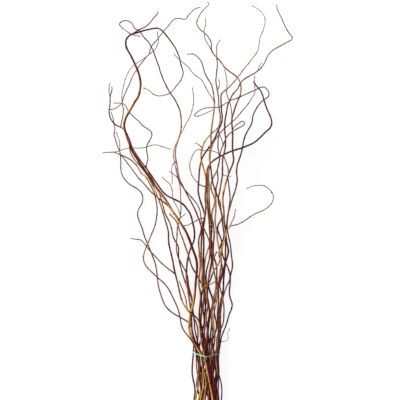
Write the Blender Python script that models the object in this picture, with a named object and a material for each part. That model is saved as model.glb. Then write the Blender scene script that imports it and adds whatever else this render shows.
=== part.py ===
"""A bunch of curly willow stems, cut, tied with one rubber band and laid down on a flat surface.

The stems lie along +Y with their cut ends towards -Y, and +X is to the right for someone who looks
down on them. The origin is on the surface, under the middle of the bunch. Every stem is one body
with its twigs. The stems are laid one after another, each resting over those already there, and the
band goes round all of them a short way above the cut ends.
"""

import bmesh
import bpy
import numpy as np
from mathutils import Vector

# Driving dimensions, in metres
BUNCH_LENGTH = 1.18
BAND_WIDTH = 0.003
BAND_THICKNESS = 0.0012

# Gaps, in metres: between stems near the band and in the fan, round the band, and under it
REST_GAP = 0.0003
FAN_GAP = 0.0021
BAND_GAP = 0.00045
BAND_FLOOR_GAP = 0.001

# How stems and twigs thin out towards their tips, and how a twig leaves its stem
TAPER = 0.42
TWIG_SHARE = 0.7
TWIG_THICKEST = 0.0018
TWIG_TIP = 0.00095
TWIG_CLIMB = 0.12
TWIG_TURNING = 0.03
TWIG_FREE = 0.02
LONG_TWIG = 0.08

# How a corkscrew stem goes up and down as it sways from side to side
CURL_HEIGHT = 0.016
MOST_CURL = 0.009
CURL_BREADTH = 0.03
CURL_EASE = 0.006
CURL_CLEAR = (0.05, 0.15)

# The drawing grid of the routes: squares across from the left and down from the furthest tip
GRID_LENGTH = 437.0
GRID = BUNCH_LENGTH / GRID_LENGTH
MIDDLE_ACROSS = 197.45
MIDDLE_DOWN = 221.7
FAN_REACH = 350.0

# The band's course. It slopes down to the right and leans towards the cut ends with height, and the
# lean dies out to the right of the highest stem.
BAND_FOOT_DOWN = 351.8
BAND_MIDDLE_DOWN = 353.8
BAND_PEAK_ACROSS = 206.0
BAND_EVEN_ACROSS = 217.0
BAND_SLOPE = 0.1
BAND_LEAN = 0.5
BAND_LEAN_RIGHT = 0.1
BAND_SPACING = 0.007
BAND_LIFT_REACH = (0.009, 0.045)
BAND_SHARP_ANGLE = 0.6

# How a stem is laid over others: in humps, short near the band and long in the fan
TIGHT_ZONE = 0.020
HUMP_REACH = (0.022, 0.062)
HUMP_SPREAD = 0.2
SOFT_PASSES = ((0.008, 1.0), (0.004, 0.5))
LAST_NARROWING = 0.4
LOOP_APART = 0.025
LOOP_REACH = 0.45
LOOP_PASSES = 3
SMALLEST_LIFT = 1e-6

# How the routes become solids
SAMPLE = 0.0025
READING_NOISE = 0.0028
CHORD_ERROR = 0.0009
BAND_CHORD_ERROR = 0.00016
STEM_SIDES = 5
TWIG_SIDES = 4
SECTION_SWELL = 1.12
CLOSE_SWELL = 1.06

# How finely the stems' surfaces are felt for the band's loop
SURFACE_STEP = 0.0008
SURFACE_TURNS = 20
SURFACE_TILTS = (-50, -35, -20, -8, 0, 8, 20, 35, 50)
SURFACE_MARGIN = 0.0005
NO_TURN = 1e-12

BARK = {
    "bark_gold": (0.52, 0.30, 0.09),
    "bark_russet": (0.33, 0.13, 0.06),
    "bark_plum": (0.17, 0.05, 0.07),
}
BARK_ROUGHNESS = 0.5
RUBBER_COLOUR = (0.36, 0.80, 0.58)
RUBBER_ROUGHNESS = 0.6

# Routes run from the tip to the cut end, as (across, down) on the drawing grid. The stems stand here
# in the order in which they are laid. "radii" are at the cut end and at the tip, and "rise" is how
# high the upper end would spring above the surface with nothing under it.
STEMS = [
    {
        "name": "outer_left_stem",
        "bark": "bark_plum",
        "radii": (0.00201, 0.00096),
        "rise": 0.0,
        "route": [
            (111, 112), (112.3, 116), (113.3, 119), (113.8, 123), (114.3, 126.5), (115, 130),
            (113.8, 134), (115, 138), (116.5, 143), (117.7, 147), (119.5, 150.5), (120.3, 155),
            (120.7, 160), (120.8, 165), (120.8, 170), (121.6, 173.7), (123.6, 177.7), (126, 181),
            (129.5, 184.3), (133, 186.3), (137, 188.7), (140.5, 191.7), (142.3, 195), (142.8, 198.7),
            (142.3, 202.5), (140.5, 206), (138.4, 209.5), (137.5, 213), (138, 217.5), (140, 223),
            (142, 228), (144.6, 236.7), (148, 244.7), (151.8, 254.3), (155.3, 264), (157, 274),
            (158.1, 284.5), (161, 295.5), (163, 301), (165.2, 305.7), (168.3, 309.3), (172, 312.5),
            (176, 315), (180.5, 317.5), (184.5, 319.8), (188, 322), (190.6, 325.5), (192, 330),
            (193, 335.5), (193.6, 341), (193.6, 347), (193.3, 353), (192.7, 360), (192.2, 367),
            (192.2, 373.5), (193.2, 380), (194.6, 386), (195, 392), (194.2, 398), (193.6, 405),
            (194, 415), (195.3, 430),
        ],
        "twigs": [
            [(116.3, 132.5), (118, 137), (119.4, 141), (120.1, 146), (120, 151)],
        ],
    },
    {
        "name": "right_edge_stem",
        "bark": "bark_plum",
        "radii": (0.0021, 0.00096),
        "rise": 0.0,
        "route": [
            (223.8, 155.5), (225, 159.5), (226.7, 164), (228.1, 168.5), (228.2, 173.5),
            (227.9, 178.5), (228.4, 182), (228.9, 186.5), (229.5, 191), (230, 196), (230, 201),
            (229.3, 206), (228.5, 211), (227.8, 216), (227.3, 221), (227.1, 226), (227.5, 231),
            (228.5, 236.3), (229.8, 242), (230.7, 247.7), (231.2, 253.5), (232, 259.5),
            (232.5, 265.5), (231.7, 271), (230.4, 275.7), (230.3, 281.5), (229.7, 287.7),
            (229.4, 294), (230.6, 299.3), (232.2, 303.7), (231.6, 308.7), (229.5, 313.7),
            (227.9, 318.7), (226.5, 324), (224.6, 329), (222.5, 334), (220.9, 339), (220.3, 344),
            (219.4, 349), (218.7, 354.5), (218.5, 361), (218.9, 368), (218.9, 375), (218.4, 382),
            (218.2, 389), (218.6, 396), (219.4, 405), (220.9, 416), (223, 428),
        ],
        "twigs": [
            [(229.5, 328.8), (227.7, 332), (227.5, 335.5), (228.6, 338), (226.5, 340.8), (220.6, 341.5)],
        ],
    },
    {
        "name": "inner_left_stem",
        "bark": "bark_russet",
        "radii": (0.0022, 0.00108),
        "rise": 0.03,
        "route": [
            (169.3, 213.8), (172.3, 216.8), (175.3, 220), (177.7, 224.5), (179.2, 229.7),
            (180.8, 234.5), (182.7, 238.8), (184.2, 243.3), (185.8, 248), (187.4, 252.5), (189, 257.5),
            (190.5, 262.5), (192, 267), (194, 270.7), (196.5, 274.5), (198.8, 278.7), (201, 283),
            (203, 287.5), (204.5, 292.5), (205.3, 298), (205.2, 304), (205.6, 310), (206.3, 316),
            (206, 322), (204.9, 328), (204.3, 334), (204.9, 340), (206, 346), (206.9, 352),
            (207.2, 358.5), (206.5, 365), (205.3, 371.5), (204.9, 378), (205.6, 385), (207, 392),
            (208.3, 399), (208.8, 408), (208.2, 420), (207.5, 431),
        ],
        "twigs": [],
    },
    {
        "name": "high_right_stem",
        "bark": "bark_plum",
        "radii": (0.00239, 0.00096),
        "rise": 0.10,
        "route": [
            (252, 6.5), (256, 9), (259.5, 11.5), (262.5, 14.5), (264.5, 18), (264.8, 22), (264, 27),
            (262.5, 32), (260.5, 36), (259.6, 39), (259, 44), (258, 49), (257, 52.5), (255, 55.5),
            (251.5, 60), (248, 64.5), (244, 69), (240.5, 74), (238, 77), (235, 81), (231, 85.5),
            (227, 89.5), (224, 91.7), (221.3, 94.5), (220.8, 99), (221.2, 105), (221.4, 111),
            (222.2, 117), (221.6, 122.5), (219.7, 127.5), (217.4, 132), (215.9, 136), (214, 139.5),
            (212, 143), (209.5, 146.8), (206.7, 150.7), (204.2, 154.3), (202, 158.3), (200.7, 162.5),
            (199.8, 167.5), (199.2, 173), (198.8, 179), (198.4, 185), (198.1, 190), (198.7, 195),
            (200, 199.8), (201.5, 204.5), (203, 208.7), (204.3, 213), (204.8, 217.5), (204.3, 222),
            (203.4, 227), (203.3, 233), (203.7, 239.5), (203.8, 246), (203.6, 253), (203.5, 260),
            (203.6, 267), (203.2, 274), (203.3, 281), (204, 287.5), (205.1, 293.5), (206.6, 299.5),
            (208.3, 305.5), (210.3, 311.5), (211.5, 318), (211.6, 325), (210.9, 331.5), (210.4, 338),
            (211.2, 344.5), (212.2, 351), (212.5, 358), (212.1, 365), (211.4, 372), (211.6, 379),
            (212.7, 386), (213.4, 393), (212.9, 400), (211.9, 410), (211.6, 422), (212.5, 436),
        ],
        "twigs": [],
    },
    {
        "name": "arched_top_stem",
        "bark": "bark_russet",
        "radii": (0.0021, 0.00096),
        "rise": 0.10,
        "route": [
            (114, 103.3), (118, 103.5), (122, 103.5), (125, 105), (126.5, 107), (127.5, 109.5),
            (130.3, 113.3), (133, 116.3), (136, 119), (139, 121.5), (142, 125), (145, 127.5),
            (148.5, 129.5), (151, 131.5), (152.2, 134.5), (151.3, 138), (149.3, 141.5), (147.3, 145),
            (146.5, 148.3), (147, 152), (147.7, 156), (148, 160), (147, 163), (146.3, 166.5),
            (148.3, 171.5), (151.3, 177.5), (154.5, 183.5), (157.3, 189), (159.7, 194), (161.2, 199),
            (162.4, 204), (163.8, 208.7), (165, 213), (167.2, 217.7), (169.3, 221.5), (170.8, 226),
            (172, 231), (173.3, 237), (175.5, 241.5), (177.7, 245), (178.7, 249), (178.5, 254),
            (179, 259.5), (180.2, 265), (181.8, 271), (183.5, 277), (185.4, 282.8), (187.5, 288.5),
            (189.7, 293.7), (191.6, 299), (192.5, 305), (193, 311), (193.7, 317), (194.3, 323),
            (194.8, 329.5), (196.2, 336), (197.5, 342), (199.3, 347.5), (200.9, 353), (201.8, 359.5),
            (202.3, 366), (201, 372.5), (200.7, 379), (201.5, 386), (201.8, 393), (200.5, 400),
            (199.3, 410), (199, 422), (199.8, 434),
        ],
        "twigs": [],
    },
    {
        "name": "curl_stem",
        "bark": "bark_russet",
        "radii": (0.00267, 0.00096),
        "rise": 0.09,
        "route": [
            (112, 87.5), (112.5, 89), (112, 92), (110.7, 96), (110.5, 99), (110.4, 103), (110, 107),
            (109.3, 111), (109.7, 115), (110.7, 118.5), (112.5, 121.5), (115, 124.5), (117.5, 126),
            (120, 127), (122.5, 128.3), (125.5, 131.3), (128, 136), (130.3, 141.5), (132.3, 147.5),
            (135.7, 153.3), (139.5, 159), (143.5, 164.5), (148, 170.5), (152.5, 177), (156.5, 183),
            (160, 188), (163.5, 192.5), (166.5, 195.3), (170.5, 197.5), (175, 199.7), (180, 202),
            (184, 205), (187, 209), (190, 213.3), (191.5, 217.5), (192.5, 222), (193.7, 226.5),
            (194.4, 231), (194.5, 236), (194, 240.5), (192.3, 244.5), (190.3, 249), (188.9, 253.5),
            (187.8, 258.5), (187, 264), (186.5, 271), (186.3, 278), (186.9, 284.5), (188, 290.5),
            (188.8, 297), (189.8, 303), (190.7, 309.5), (191.3, 316), (191.5, 323), (192, 330),
            (193.6, 337), (195.8, 343), (197.6, 348.5), (198.8, 354), (199.6, 360), (200.3, 367),
            (201.5, 374), (202.9, 381), (203.6, 388), (203.2, 395), (202.2, 402), (201.5, 412),
            (201.8, 424), (202.4, 435),
        ],
        "twigs": [
            [(110.5, 83.5), (109.7, 85.5), (109.3, 89), (109.5, 93), (110.6, 97)],
            [(121.3, 104.6), (118, 107.3), (115.5, 109), (112, 109.7), (109.5, 110.3)],
            [
                (200, 8.5), (196.5, 9.3), (194, 10.5), (191.5, 13), (189.5, 15), (187.5, 17.5),
                (186.3, 19.8), (184.5, 20.5), (181, 19.6), (177, 19.3), (174.7, 19.6), (173.3, 20.8),
                (171, 23.2), (169.3, 25.5), (167, 28.5), (164, 31.5), (161.5, 35), (159.5, 37.3),
                (158, 39.5), (156.5, 41.5), (154, 44), (152, 46.5), (150.8, 49), (149.8, 52),
                (149.5, 54.5), (147, 57), (144, 61), (141.5, 64), (139.5, 66.5), (137, 70.5),
                (135, 73), (132.7, 77), (131, 81), (129.3, 85.5), (127.5, 89), (125.8, 93),
                (124.3, 96.5), (123.3, 100), (122.3, 103.5), (122.8, 106), (123.8, 109), (123.5, 113),
                (122.8, 118), (122, 122), (121, 127.4),
            ],
            [
                (158.3, 32.5), (157.3, 34.5), (158, 37), (158.8, 40), (158.5, 43.5), (157, 47),
                (155.3, 50.3), (153.5, 52), (151, 54), (149, 55.5), (146.5, 57.5), (143.5, 59.8),
                (140, 62), (137, 63.8), (132.5, 67.5), (130.5, 69.8), (128.5, 73), (126.8, 77),
                (125.3, 80.5), (124.5, 84), (123.6, 88), (122.5, 92), (122.3, 96), (122.3, 100),
                (122.5, 104.5),
            ],
        ],
    },
    {
        "name": "dark_elbow_stem",
        "bark": "bark_plum",
        "radii": (0.00258, 0.00156),
        "rise": 0.05,
        "route": [
            (253.5, 81.5), (255, 84.5), (258.5, 88.5), (260.5, 91), (262.3, 95), (263.5, 99),
            (265, 104), (267, 109.5), (269.5, 115), (271, 119), (271.7, 123.5), (270.5, 127.3),
            (267.7, 130.3), (264.3, 133.3), (261, 136.7), (257.7, 139.8), (254.3, 142.5),
            (250.5, 144.5), (246.5, 146.1), (242, 148), (237.5, 149.3), (233, 150.7), (229, 152.2),
            (225.3, 153.9), (221.5, 155.7), (217.7, 157.8), (214.2, 160), (211.2, 162.6),
            (208.7, 165.7), (207.3, 169.7), (206.9, 174.5), (207.3, 179.7), (207.4, 185.5),
            (207.1, 191), (207.1, 197), (207.4, 203), (207.9, 209), (208.5, 215), (209.1, 221),
            (209.5, 227), (209.9, 233), (210.9, 239), (212.3, 244.7), (212.9, 250.7), (212.4, 257),
            (211.2, 263.5), (210, 270), (208.9, 276.5), (208, 283), (208.9, 288.5), (210.7, 293.5),
            (212.4, 298.5), (212.6, 304), (211.3, 309.5), (210, 315.5), (209, 322), (208.3, 329),
            (207.8, 336), (207.5, 343), (207.8, 350), (208.7, 357), (209.5, 364), (209.3, 371),
            (208.7, 378), (209.3, 385), (210.5, 392), (211.2, 399), (210.6, 409), (209.6, 421),
            (208.9, 434),
        ],
        "twigs": [],
    },
    {
        "name": "short_stem_left",
        "bark": "bark_plum",
        "radii": (0.00229, 0.00156),
        "rise": 0.0,
        "route": [
            (213.7, 223.7), (212.3, 227), (210.9, 232), (209.9, 238), (209.7, 245), (209.9, 252),
            (209.3, 259), (207.7, 265.5), (206.3, 272), (206, 279), (206.9, 286), (207.6, 293),
            (206.6, 300), (205.3, 307), (205, 314), (206.2, 321), (207.3, 328), (206.8, 335),
            (206, 342), (206.9, 349), (208.3, 356), (208.6, 363), (207.6, 370), (206.9, 377),
            (207.8, 384), (208.9, 391), (208.6, 399), (207.6, 409), (208.2, 421), (209.2, 433),
        ],
        "twigs": [],
    },
    {
        "name": "fork_stem",
        "bark": "bark_russet",
        "radii": (0.00229, 0.00096),
        "rise": 0.06,
        "route": [
            (192.3, 88), (193, 92), (193.7, 97), (193.7, 102), (193, 107), (191.5, 112), (190, 117),
            (187.5, 121.5), (185, 126), (183, 130), (180.8, 134), (179, 138), (177, 142.3),
            (174.8, 146.7), (173.7, 151), (173.5, 155.5), (174.2, 160), (175, 164.5), (175.9, 169),
            (176.9, 174), (178.3, 179), (180.3, 183.4), (182.8, 187.3), (186, 191), (189, 194.5),
            (192, 198), (195, 201.5), (197.5, 205.2), (199.4, 209), (200.5, 213), (200.9, 218),
            (201.9, 222.8), (203.4, 227), (205.1, 231), (207, 235.3), (208.7, 239.5), (209.4, 244),
            (208.3, 248.5), (206.8, 253), (205.5, 257.7), (204.7, 263), (204.3, 269), (204.3, 275.5),
            (205, 282), (206, 288), (206.9, 294), (208, 300), (209, 306.5), (209.3, 313),
            (208.5, 319.5), (207.7, 326), (208, 333), (208.9, 339.5), (209.5, 346), (209.9, 353),
            (210.4, 360), (210.9, 367), (211.9, 374), (213, 381), (213.9, 388), (214.5, 395),
            (214.8, 403), (214.2, 414), (213.8, 425),
        ],
        "twigs": [],
    },
    {
        "name": "split_top_stem",
        "bark": "bark_gold",
        "radii": (0.00258, 0.00096),
        "rise": 0.09,
        "route": [
            (207.5, 3.3), (209.3, 4.5), (208.5, 6), (206, 8.3), (203.5, 10.5), (200.3, 15),
            (198.8, 17.8), (197.5, 20), (196.7, 24), (197.3, 26.5), (199, 29), (201.5, 31.5),
            (203.8, 33), (206, 35), (208.5, 38), (210.5, 41.5), (211.5, 45), (211.3, 48.5),
            (211.7, 51.5), (213.3, 54.5), (216, 57.3), (219, 60.3), (222, 64.3), (224.5, 68),
            (228, 71), (231.5, 73.5), (235, 76), (237, 78), (239.3, 81.5), (240.3, 84.5), (240.8, 90),
            (240.3, 94.5), (239, 98), (237, 102.5), (235, 108), (233.5, 113), (232, 117.5),
            (231.7, 123), (232.3, 130), (232.6, 137), (232.4, 144), (232.4, 150), (233, 155),
            (233.6, 159), (233, 163), (231.4, 167), (229.6, 171), (228.2, 175), (226.6, 179.5),
            (225.3, 184.5), (224.1, 189.5), (223.1, 194.5), (222.6, 199.5), (222.9, 204.5),
            (223.6, 209.5), (223.8, 214.5), (223.9, 219.5), (224.5, 224.5), (225.3, 229.5),
            (225.8, 235), (226.3, 241), (227.6, 246.5), (228.4, 252), (227.3, 257), (225.7, 262),
            (224.8, 268), (224, 274.5), (223.5, 281), (223.4, 287.5), (222.6, 293), (221.4, 298.5),
            (220.2, 304.5), (219.3, 311), (218.9, 318), (219.2, 325), (219.5, 332), (219.3, 339),
            (218.4, 346), (217.6, 353), (217.4, 360), (217.7, 367), (217.3, 374), (216.5, 381),
            (216.3, 388), (216.9, 395), (216.2, 403), (215.2, 414), (216, 427),
        ],
        "twigs": [
            [
                (205.5, 19.5), (205.5, 26.5), (204.3, 29), (204, 32.5), (204.3, 36), (204.8, 39),
                (206, 42), (208.5, 45.5), (210.5, 49.3), (212.6, 53),
            ],
            [
                (224.3, 70.5), (225.8, 75), (226.5, 80), (227, 85), (226.5, 90), (226.5, 94),
                (227.5, 97), (229, 101), (230.3, 105), (231.2, 110), (231.7, 114), (231.9, 119),
            ],
        ],
    },
    {
        "name": "leaf_loop_stem",
        "bark": "bark_plum",
        "radii": (0.00229, 0.00084),
        "rise": 0.10,
        "route": [
            (213, 110.5), (209, 112), (205, 113.8), (201, 115.5), (197, 116.5), (194, 116.2),
            (195.5, 114), (198.5, 111.5), (201, 110), (205, 108.5), (210, 108), (215, 108),
            (220, 107.5), (222, 106), (226, 103.5), (229.5, 101.5), (232, 100), (235, 99.5),
            (238.5, 98), (242, 96.3), (246, 94.5), (250, 92.5), (254, 91), (258, 89), (261, 87.5),
            (264, 87.5), (267, 90), (268.5, 93), (268.5, 96.5), (265.5, 99), (262.5, 101),
            (259.5, 104), (257, 107.5), (255, 111), (253.5, 114), (252.5, 117), (252, 122),
            (250.5, 126), (248.3, 129.5), (246.2, 133.5), (244.3, 138), (243.3, 142), (242.6, 147),
            (241.5, 151.5), (240.3, 156), (238.7, 160.5), (237.2, 165), (236.5, 170), (236.6, 175),
            (237.2, 179), (236.8, 183), (236, 187), (234.9, 191), (233.5, 195), (232, 199.5),
            (230.7, 204), (229.3, 208.5), (228.2, 213), (227.4, 218), (226.7, 223), (226.1, 228.5),
            (225.8, 234.5), (225.5, 241), (225.5, 248), (225.4, 255), (225, 262), (223.9, 268),
            (222.6, 274), (221, 279.5), (219.2, 284.5), (217.6, 289.5), (216.2, 295), (214.9, 300.5),
            (213.2, 305.5), (211.9, 311), (211.7, 317), (212.3, 323.5), (212.9, 330), (212.5, 336.5),
            (211.6, 343), (211.5, 350), (211.5, 357), (210.7, 364), (210.2, 371), (210.9, 378),
            (211.9, 385), (212.4, 392), (213.9, 399), (215.5, 408), (216.8, 420), (217.9, 435),
        ],
        "twigs": [],
    },
    {
        "name": "far_right_stem",
        "bark": "bark_russet",
        "radii": (0.00229, 0.00096),
        "rise": 0.06,
        "route": [
            (276.5, 5.5), (277, 9.5), (279, 14), (281.5, 19), (283.5, 24), (285.5, 28), (287.5, 31.5),
            (290, 35), (292, 37.5), (291.5, 40.2), (288, 42), (283.5, 44.5), (280, 46.5), (276, 48.5),
            (272.5, 50.8), (269, 54), (266.5, 58), (265, 62), (262.5, 66), (260, 69.5), (257.5, 71.3),
            (254.5, 73.5), (250, 76), (246, 78.5), (243, 80.5), (240.5, 83.3), (239, 86), (237, 90),
            (234.5, 92.5), (232.8, 94.5), (231, 97.5), (230, 100), (228, 104), (227, 109), (226, 115),
            (225, 120), (224.6, 125), (224.6, 130), (225.1, 135), (225.5, 139.5), (225.4, 144.5),
            (225, 149), (224, 153), (222.8, 157.5), (222.4, 162.5), (222.5, 168), (222.4, 173),
            (222, 178), (221, 183), (220.3, 188), (219.4, 193), (218.2, 198), (218.6, 203), (220, 208),
            (221.4, 213), (221.8, 217.5), (220.3, 221), (218.3, 224.5), (217.5, 229), (218.7, 233.5),
            (220.7, 238), (221.8, 243.5), (221.6, 249.5), (222.6, 255), (224.3, 260), (226.7, 265),
            (228.7, 270), (229.9, 275), (229.5, 280), (227.4, 284.5), (225.3, 289.5), (223.7, 294.5),
            (222.2, 300), (221.2, 306), (220.6, 312.5), (220.3, 319.5), (220.6, 326.5), (220.3, 333),
            (219, 339.5), (217.3, 346), (215.6, 352.5), (214.8, 359), (215.2, 366), (215.9, 373),
            (215.1, 380), (214.4, 387), (215.2, 394), (215.9, 402), (217.6, 412), (219.4, 424),
        ],
        "twigs": [
            [(261, 63.5), (259, 67), (257.6, 71.2)],
            [(230.5, 176.5), (226.5, 176.3), (222.2, 175)],
        ],
    },
    {
        "name": "crossing_stem",
        "bark": "bark_russet",
        "radii": (0.0021, 0.00096),
        "rise": 0.04,
        "route": [
            (169.5, 171.5), (172.5, 173.4), (175.5, 175.8), (178, 178.7), (179.4, 183), (180.3, 189),
            (180.6, 196), (180.8, 203), (181, 209), (180.5, 214), (179.9, 218.5), (178.7, 222.5),
            (177.6, 226.5), (177.1, 231), (177.1, 236), (176.6, 241), (176.4, 247), (176.9, 252.5),
            (178.4, 257.5), (180.4, 261.5), (182.4, 265.5), (184.6, 269.3), (186.7, 273.7), (188, 279),
            (188.5, 284.5), (189.7, 290), (191.3, 295.5), (192.2, 301), (191.6, 306.5), (192.2, 312.5),
            (194, 318), (196.3, 323), (197.6, 328.5), (198, 334.5), (197.5, 340.5), (197, 346.5),
            (196.7, 352.5), (197.6, 359), (198.6, 365.5), (198.4, 372), (197.3, 378.5), (196.8, 384.5),
            (198, 390.5), (199.5, 396.5), (199.8, 404), (198.3, 414), (197.2, 428),
        ],
        "twigs": [
            [
                (162, 177), (164.5, 179.5), (167, 181.5), (169.5, 184), (171.3, 186.7), (172.3, 190.5),
                (172.5, 194.5), (173, 198.5), (174.5, 202.5), (176.5, 206), (178.3, 209.5),
                (179.5, 213), (180.3, 215.5),
            ],
            [(185, 214), (182.7, 216), (180, 218)],
        ],
    },
    {
        "name": "arc_stem",
        "bark": "bark_gold",
        "radii": (0.00248, 0.00108),
        "rise": 0.10,
        "route": [
            (220, 41), (218.3, 43), (217, 45.5), (216.5, 48), (216.7, 53), (216.5, 57), (217, 61),
            (217.3, 66), (216.7, 70), (216.3, 76), (215.8, 79.5), (216, 84), (216.8, 88), (217.5, 93),
            (218.3, 97), (218.6, 104), (219, 110), (220.2, 116), (219.8, 122), (218.2, 127),
            (216, 130.3), (213, 132.3), (210.5, 134.7), (208, 137.5), (205.7, 140), (204.2, 142.7),
            (203, 145.8), (202, 149), (201.3, 152), (200.9, 155.5), (201, 159.5), (201.9, 163.3),
            (203.2, 167.5), (204.5, 172), (205.7, 177), (206.1, 183), (205.6, 189), (205.1, 195),
            (205.3, 201), (205.7, 207), (205.5, 213), (204.4, 218.5), (203, 223.5), (202.2, 229),
            (201.6, 235), (201.4, 242), (201.2, 249), (201.4, 256), (202, 263), (202.3, 270),
            (201.8, 277), (201.7, 283.5), (202.9, 289.5), (203.9, 295.5), (203.4, 302), (202.9, 308.5),
            (203.6, 315), (204.3, 321.5), (203, 328), (201.9, 334), (200.7, 340), (199.3, 346.5),
            (198.6, 353), (199.5, 359.5), (199.9, 366), (199.2, 372.5), (199.3, 379), (200.3, 385.5),
            (200.5, 392), (198.9, 398.5), (198, 407), (200, 417), (203.5, 430),
        ],
        "twigs": [
            [(218.5, 80), (219.7, 82.5), (219.5, 85), (218.3, 88), (217.2, 91.5)],
            [
                (218.2, 153.4), (215, 152), (211.8, 151), (207.5, 150.8),
                (203.5, 150.9), (201, 150.3), (198.2, 149.3), (195.5, 151), (193.5, 153.5), (192, 157),
                (190.5, 161), (189.5, 165), (190, 168.5), (191, 172.5), (192, 175.5), (193, 177.5),
                (195, 180.3), (197.5, 182.8), (199.5, 184.5), (202, 185.7), (205.9, 186.3),
            ],
            [(195.5, 143.3), (198, 144.3), (200.5, 146.3), (202.2, 148.3)],
            [
                (184.2, 225.5), (187.1, 225.5), (190.6, 223.5), (194.1, 222.1), (197.7, 219.8),
                (201, 218.7), (204.4, 218.3),
            ],
        ],
    },
    {
        "name": "narrow_loop_stem",
        "bark": "bark_gold",
        "radii": (0.00239, 0.00108),
        "rise": 0.06,
        "route": [
            (233, 129), (235, 126), (238.5, 123.5), (242, 121.5), (244, 122), (244.8, 124),
            (242.5, 126), (238, 128.5), (233, 131.3), (229.5, 133.8), (226.3, 137.5), (224.8, 141),
            (223.3, 144.7), (221.8, 148), (220.5, 151.7), (219.8, 155.7), (219.4, 160), (218.7, 164.3),
            (217.6, 168.5), (216, 172.5), (214, 176), (212.3, 179.8), (211, 184), (211, 188.5),
            (212.2, 192.5), (214, 196.5), (214.7, 201), (214, 205.5), (212.7, 209.5), (211.7, 214),
            (212, 219), (212.9, 224), (213.8, 229), (214.1, 234.5), (213.7, 240), (213.3, 246),
            (213.1, 252), (214, 257.5), (215.7, 262.5), (216.7, 268), (216.6, 274.5), (217, 281),
            (217.3, 287.5), (217, 294), (216.5, 300.5), (215.3, 306.5), (213.9, 312.5), (213.3, 318.5),
            (213.6, 325), (214.5, 331.5), (214.8, 338), (213.9, 344.5), (213, 351), (213.4, 357.5),
            (214, 364.5), (213.5, 371.5), (212.6, 378.5), (212.3, 385.5), (211.1, 392), (209.7, 399),
            (209.2, 408), (210.2, 419), (211.3, 432),
        ],
        "twigs": [
            [(218.4, 129), (218.8, 132), (219.8, 135.5), (221.2, 139), (222.9, 144.7)],
        ],
    },
    {
        "name": "short_stem_right",
        "bark": "bark_plum",
        "radii": (0.0022, 0.00156),
        "rise": 0.0,
        "route": [
            (216.8, 251.7), (214.7, 256), (213, 261), (213, 267), (214.2, 273), (215.5, 279),
            (215.9, 285.5), (215, 292), (213.7, 298), (213.2, 304.5), (214.1, 311), (215.2, 317.5),
            (216.3, 323.5), (216.2, 330), (214.2, 335.5), (212.3, 340.5), (212.9, 346.5),
            (214.3, 352.5), (214.2, 359), (212.9, 366), (212.9, 373), (213.9, 380), (214.2, 387),
            (213.4, 394), (213.6, 402), (214.9, 412), (214.5, 424),
        ],
        "twigs": [],
    },
    {
        "name": "looping_right_stem",
        "bark": "bark_plum",
        "radii": (0.00191, 0.00132),
        "rise": 0.03,
        "route": [
            (218.8, 129), (218.9, 133), (218.3, 138), (217.9, 143), (217.9, 148), (218.6, 152.5),
            (219.4, 156.5), (219.2, 161), (218.2, 165.3), (217.4, 169.8), (217.6, 174.5), (218, 179),
            (217.4, 183), (216.3, 186.5), (215.9, 190), (216.7, 194.5), (218.3, 198.5), (220, 202.5),
            (220.5, 207), (220.9, 211.5), (221.9, 216), (222.3, 221), (222.8, 226), (223.6, 231),
            (223.9, 236), (222.7, 240.5), (220.9, 244.5), (219.5, 249), (219, 254.5), (220, 259.5),
            (221.7, 264), (222.3, 270), (221.2, 276), (219.9, 281.5), (219.9, 287), (221.3, 292.5),
            (222.7, 298), (223.5, 303.5), (224, 309.5), (223.8, 315.5), (223.5, 321), (222.2, 326),
            (219.8, 330), (217.6, 334.5), (216.7, 340.5), (216.4, 347), (215.9, 353.5), (216.2, 360.5),
            (217.3, 367), (218.7, 373.5), (220.3, 379.5), (221.5, 385.5), (221.9, 391.5), (221.5, 398),
            (220.7, 407), (220.9, 418), (222, 430),
        ],
        "twigs": [],
    },
    {
        "name": "thick_hook_stem",
        "bark": "bark_gold",
        "radii": (0.00334, 0.00108),
        "rise": 0.13,
        "route": [
            (144, 88.8), (147, 89.6), (149.5, 91), (152, 93.5), (155, 95.5), (158, 96.5), (162, 96.3),
            (165, 95.6), (168, 94.8), (171, 93), (173.5, 90.5), (176, 87), (178.5, 84), (180.5, 81.5),
            (182.2, 78), (183.3, 74.5), (182.6, 70), (181.3, 66), (180.3, 63), (179.7, 59),
            (178, 54.5), (176.5, 51), (175, 48), (172.5, 44.5), (170, 41), (167, 37), (164, 33.5),
            (161.5, 31), (159, 29.6), (155, 29.4), (150, 30.3), (146, 31.2), (142, 32.3), (139, 33.3),
            (135, 34.5), (131.5, 35.5), (129.5, 37), (127.2, 39.5), (126.3, 42), (126.2, 45),
            (127, 49), (129, 52.5), (130.7, 55.5), (133, 60), (135.3, 65), (137.5, 70), (139.3, 75),
            (140.5, 80), (141, 86), (140, 92), (138.5, 97.5), (135, 102.5), (132, 108), (129, 113),
            (126.5, 117.5), (125, 121.5), (124.3, 126), (125.3, 131), (127.3, 137), (129.3, 143),
            (131.3, 149), (134.7, 155), (138.5, 161), (142.5, 167), (147, 173.5), (151, 180),
            (155.5, 186.5), (160.5, 193), (165.3, 199.5), (168.5, 204.5), (171, 209), (174, 213.5),
            (177.5, 218.5), (181, 224), (184.8, 229.5), (187.5, 235), (190, 241), (192, 247),
            (194, 252.5), (196, 258), (197, 264), (196.8, 271), (196, 279), (195.3, 287), (194.6, 295),
            (193.6, 302), (192, 309), (190.3, 315), (189.2, 321), (188.9, 327), (190, 333.5),
            (192.5, 340), (195.7, 345.5), (199, 350.5), (202, 355), (204.5, 359.5), (206.3, 364.5),
            (207.3, 370), (207.9, 376), (207.8, 382), (207.2, 388), (205.8, 393), (204.5, 398),
            (203.8, 406), (204.5, 416), (205.2, 428), (204.6, 440),
        ],
        "twigs": [
            [
                (158, 12.8), (158, 15), (156, 17), (153, 20.5), (150, 24.3), (147, 27), (143.5, 29.3),
                (141, 30), (139, 31.3), (136, 33), (133.5, 35),
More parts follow.
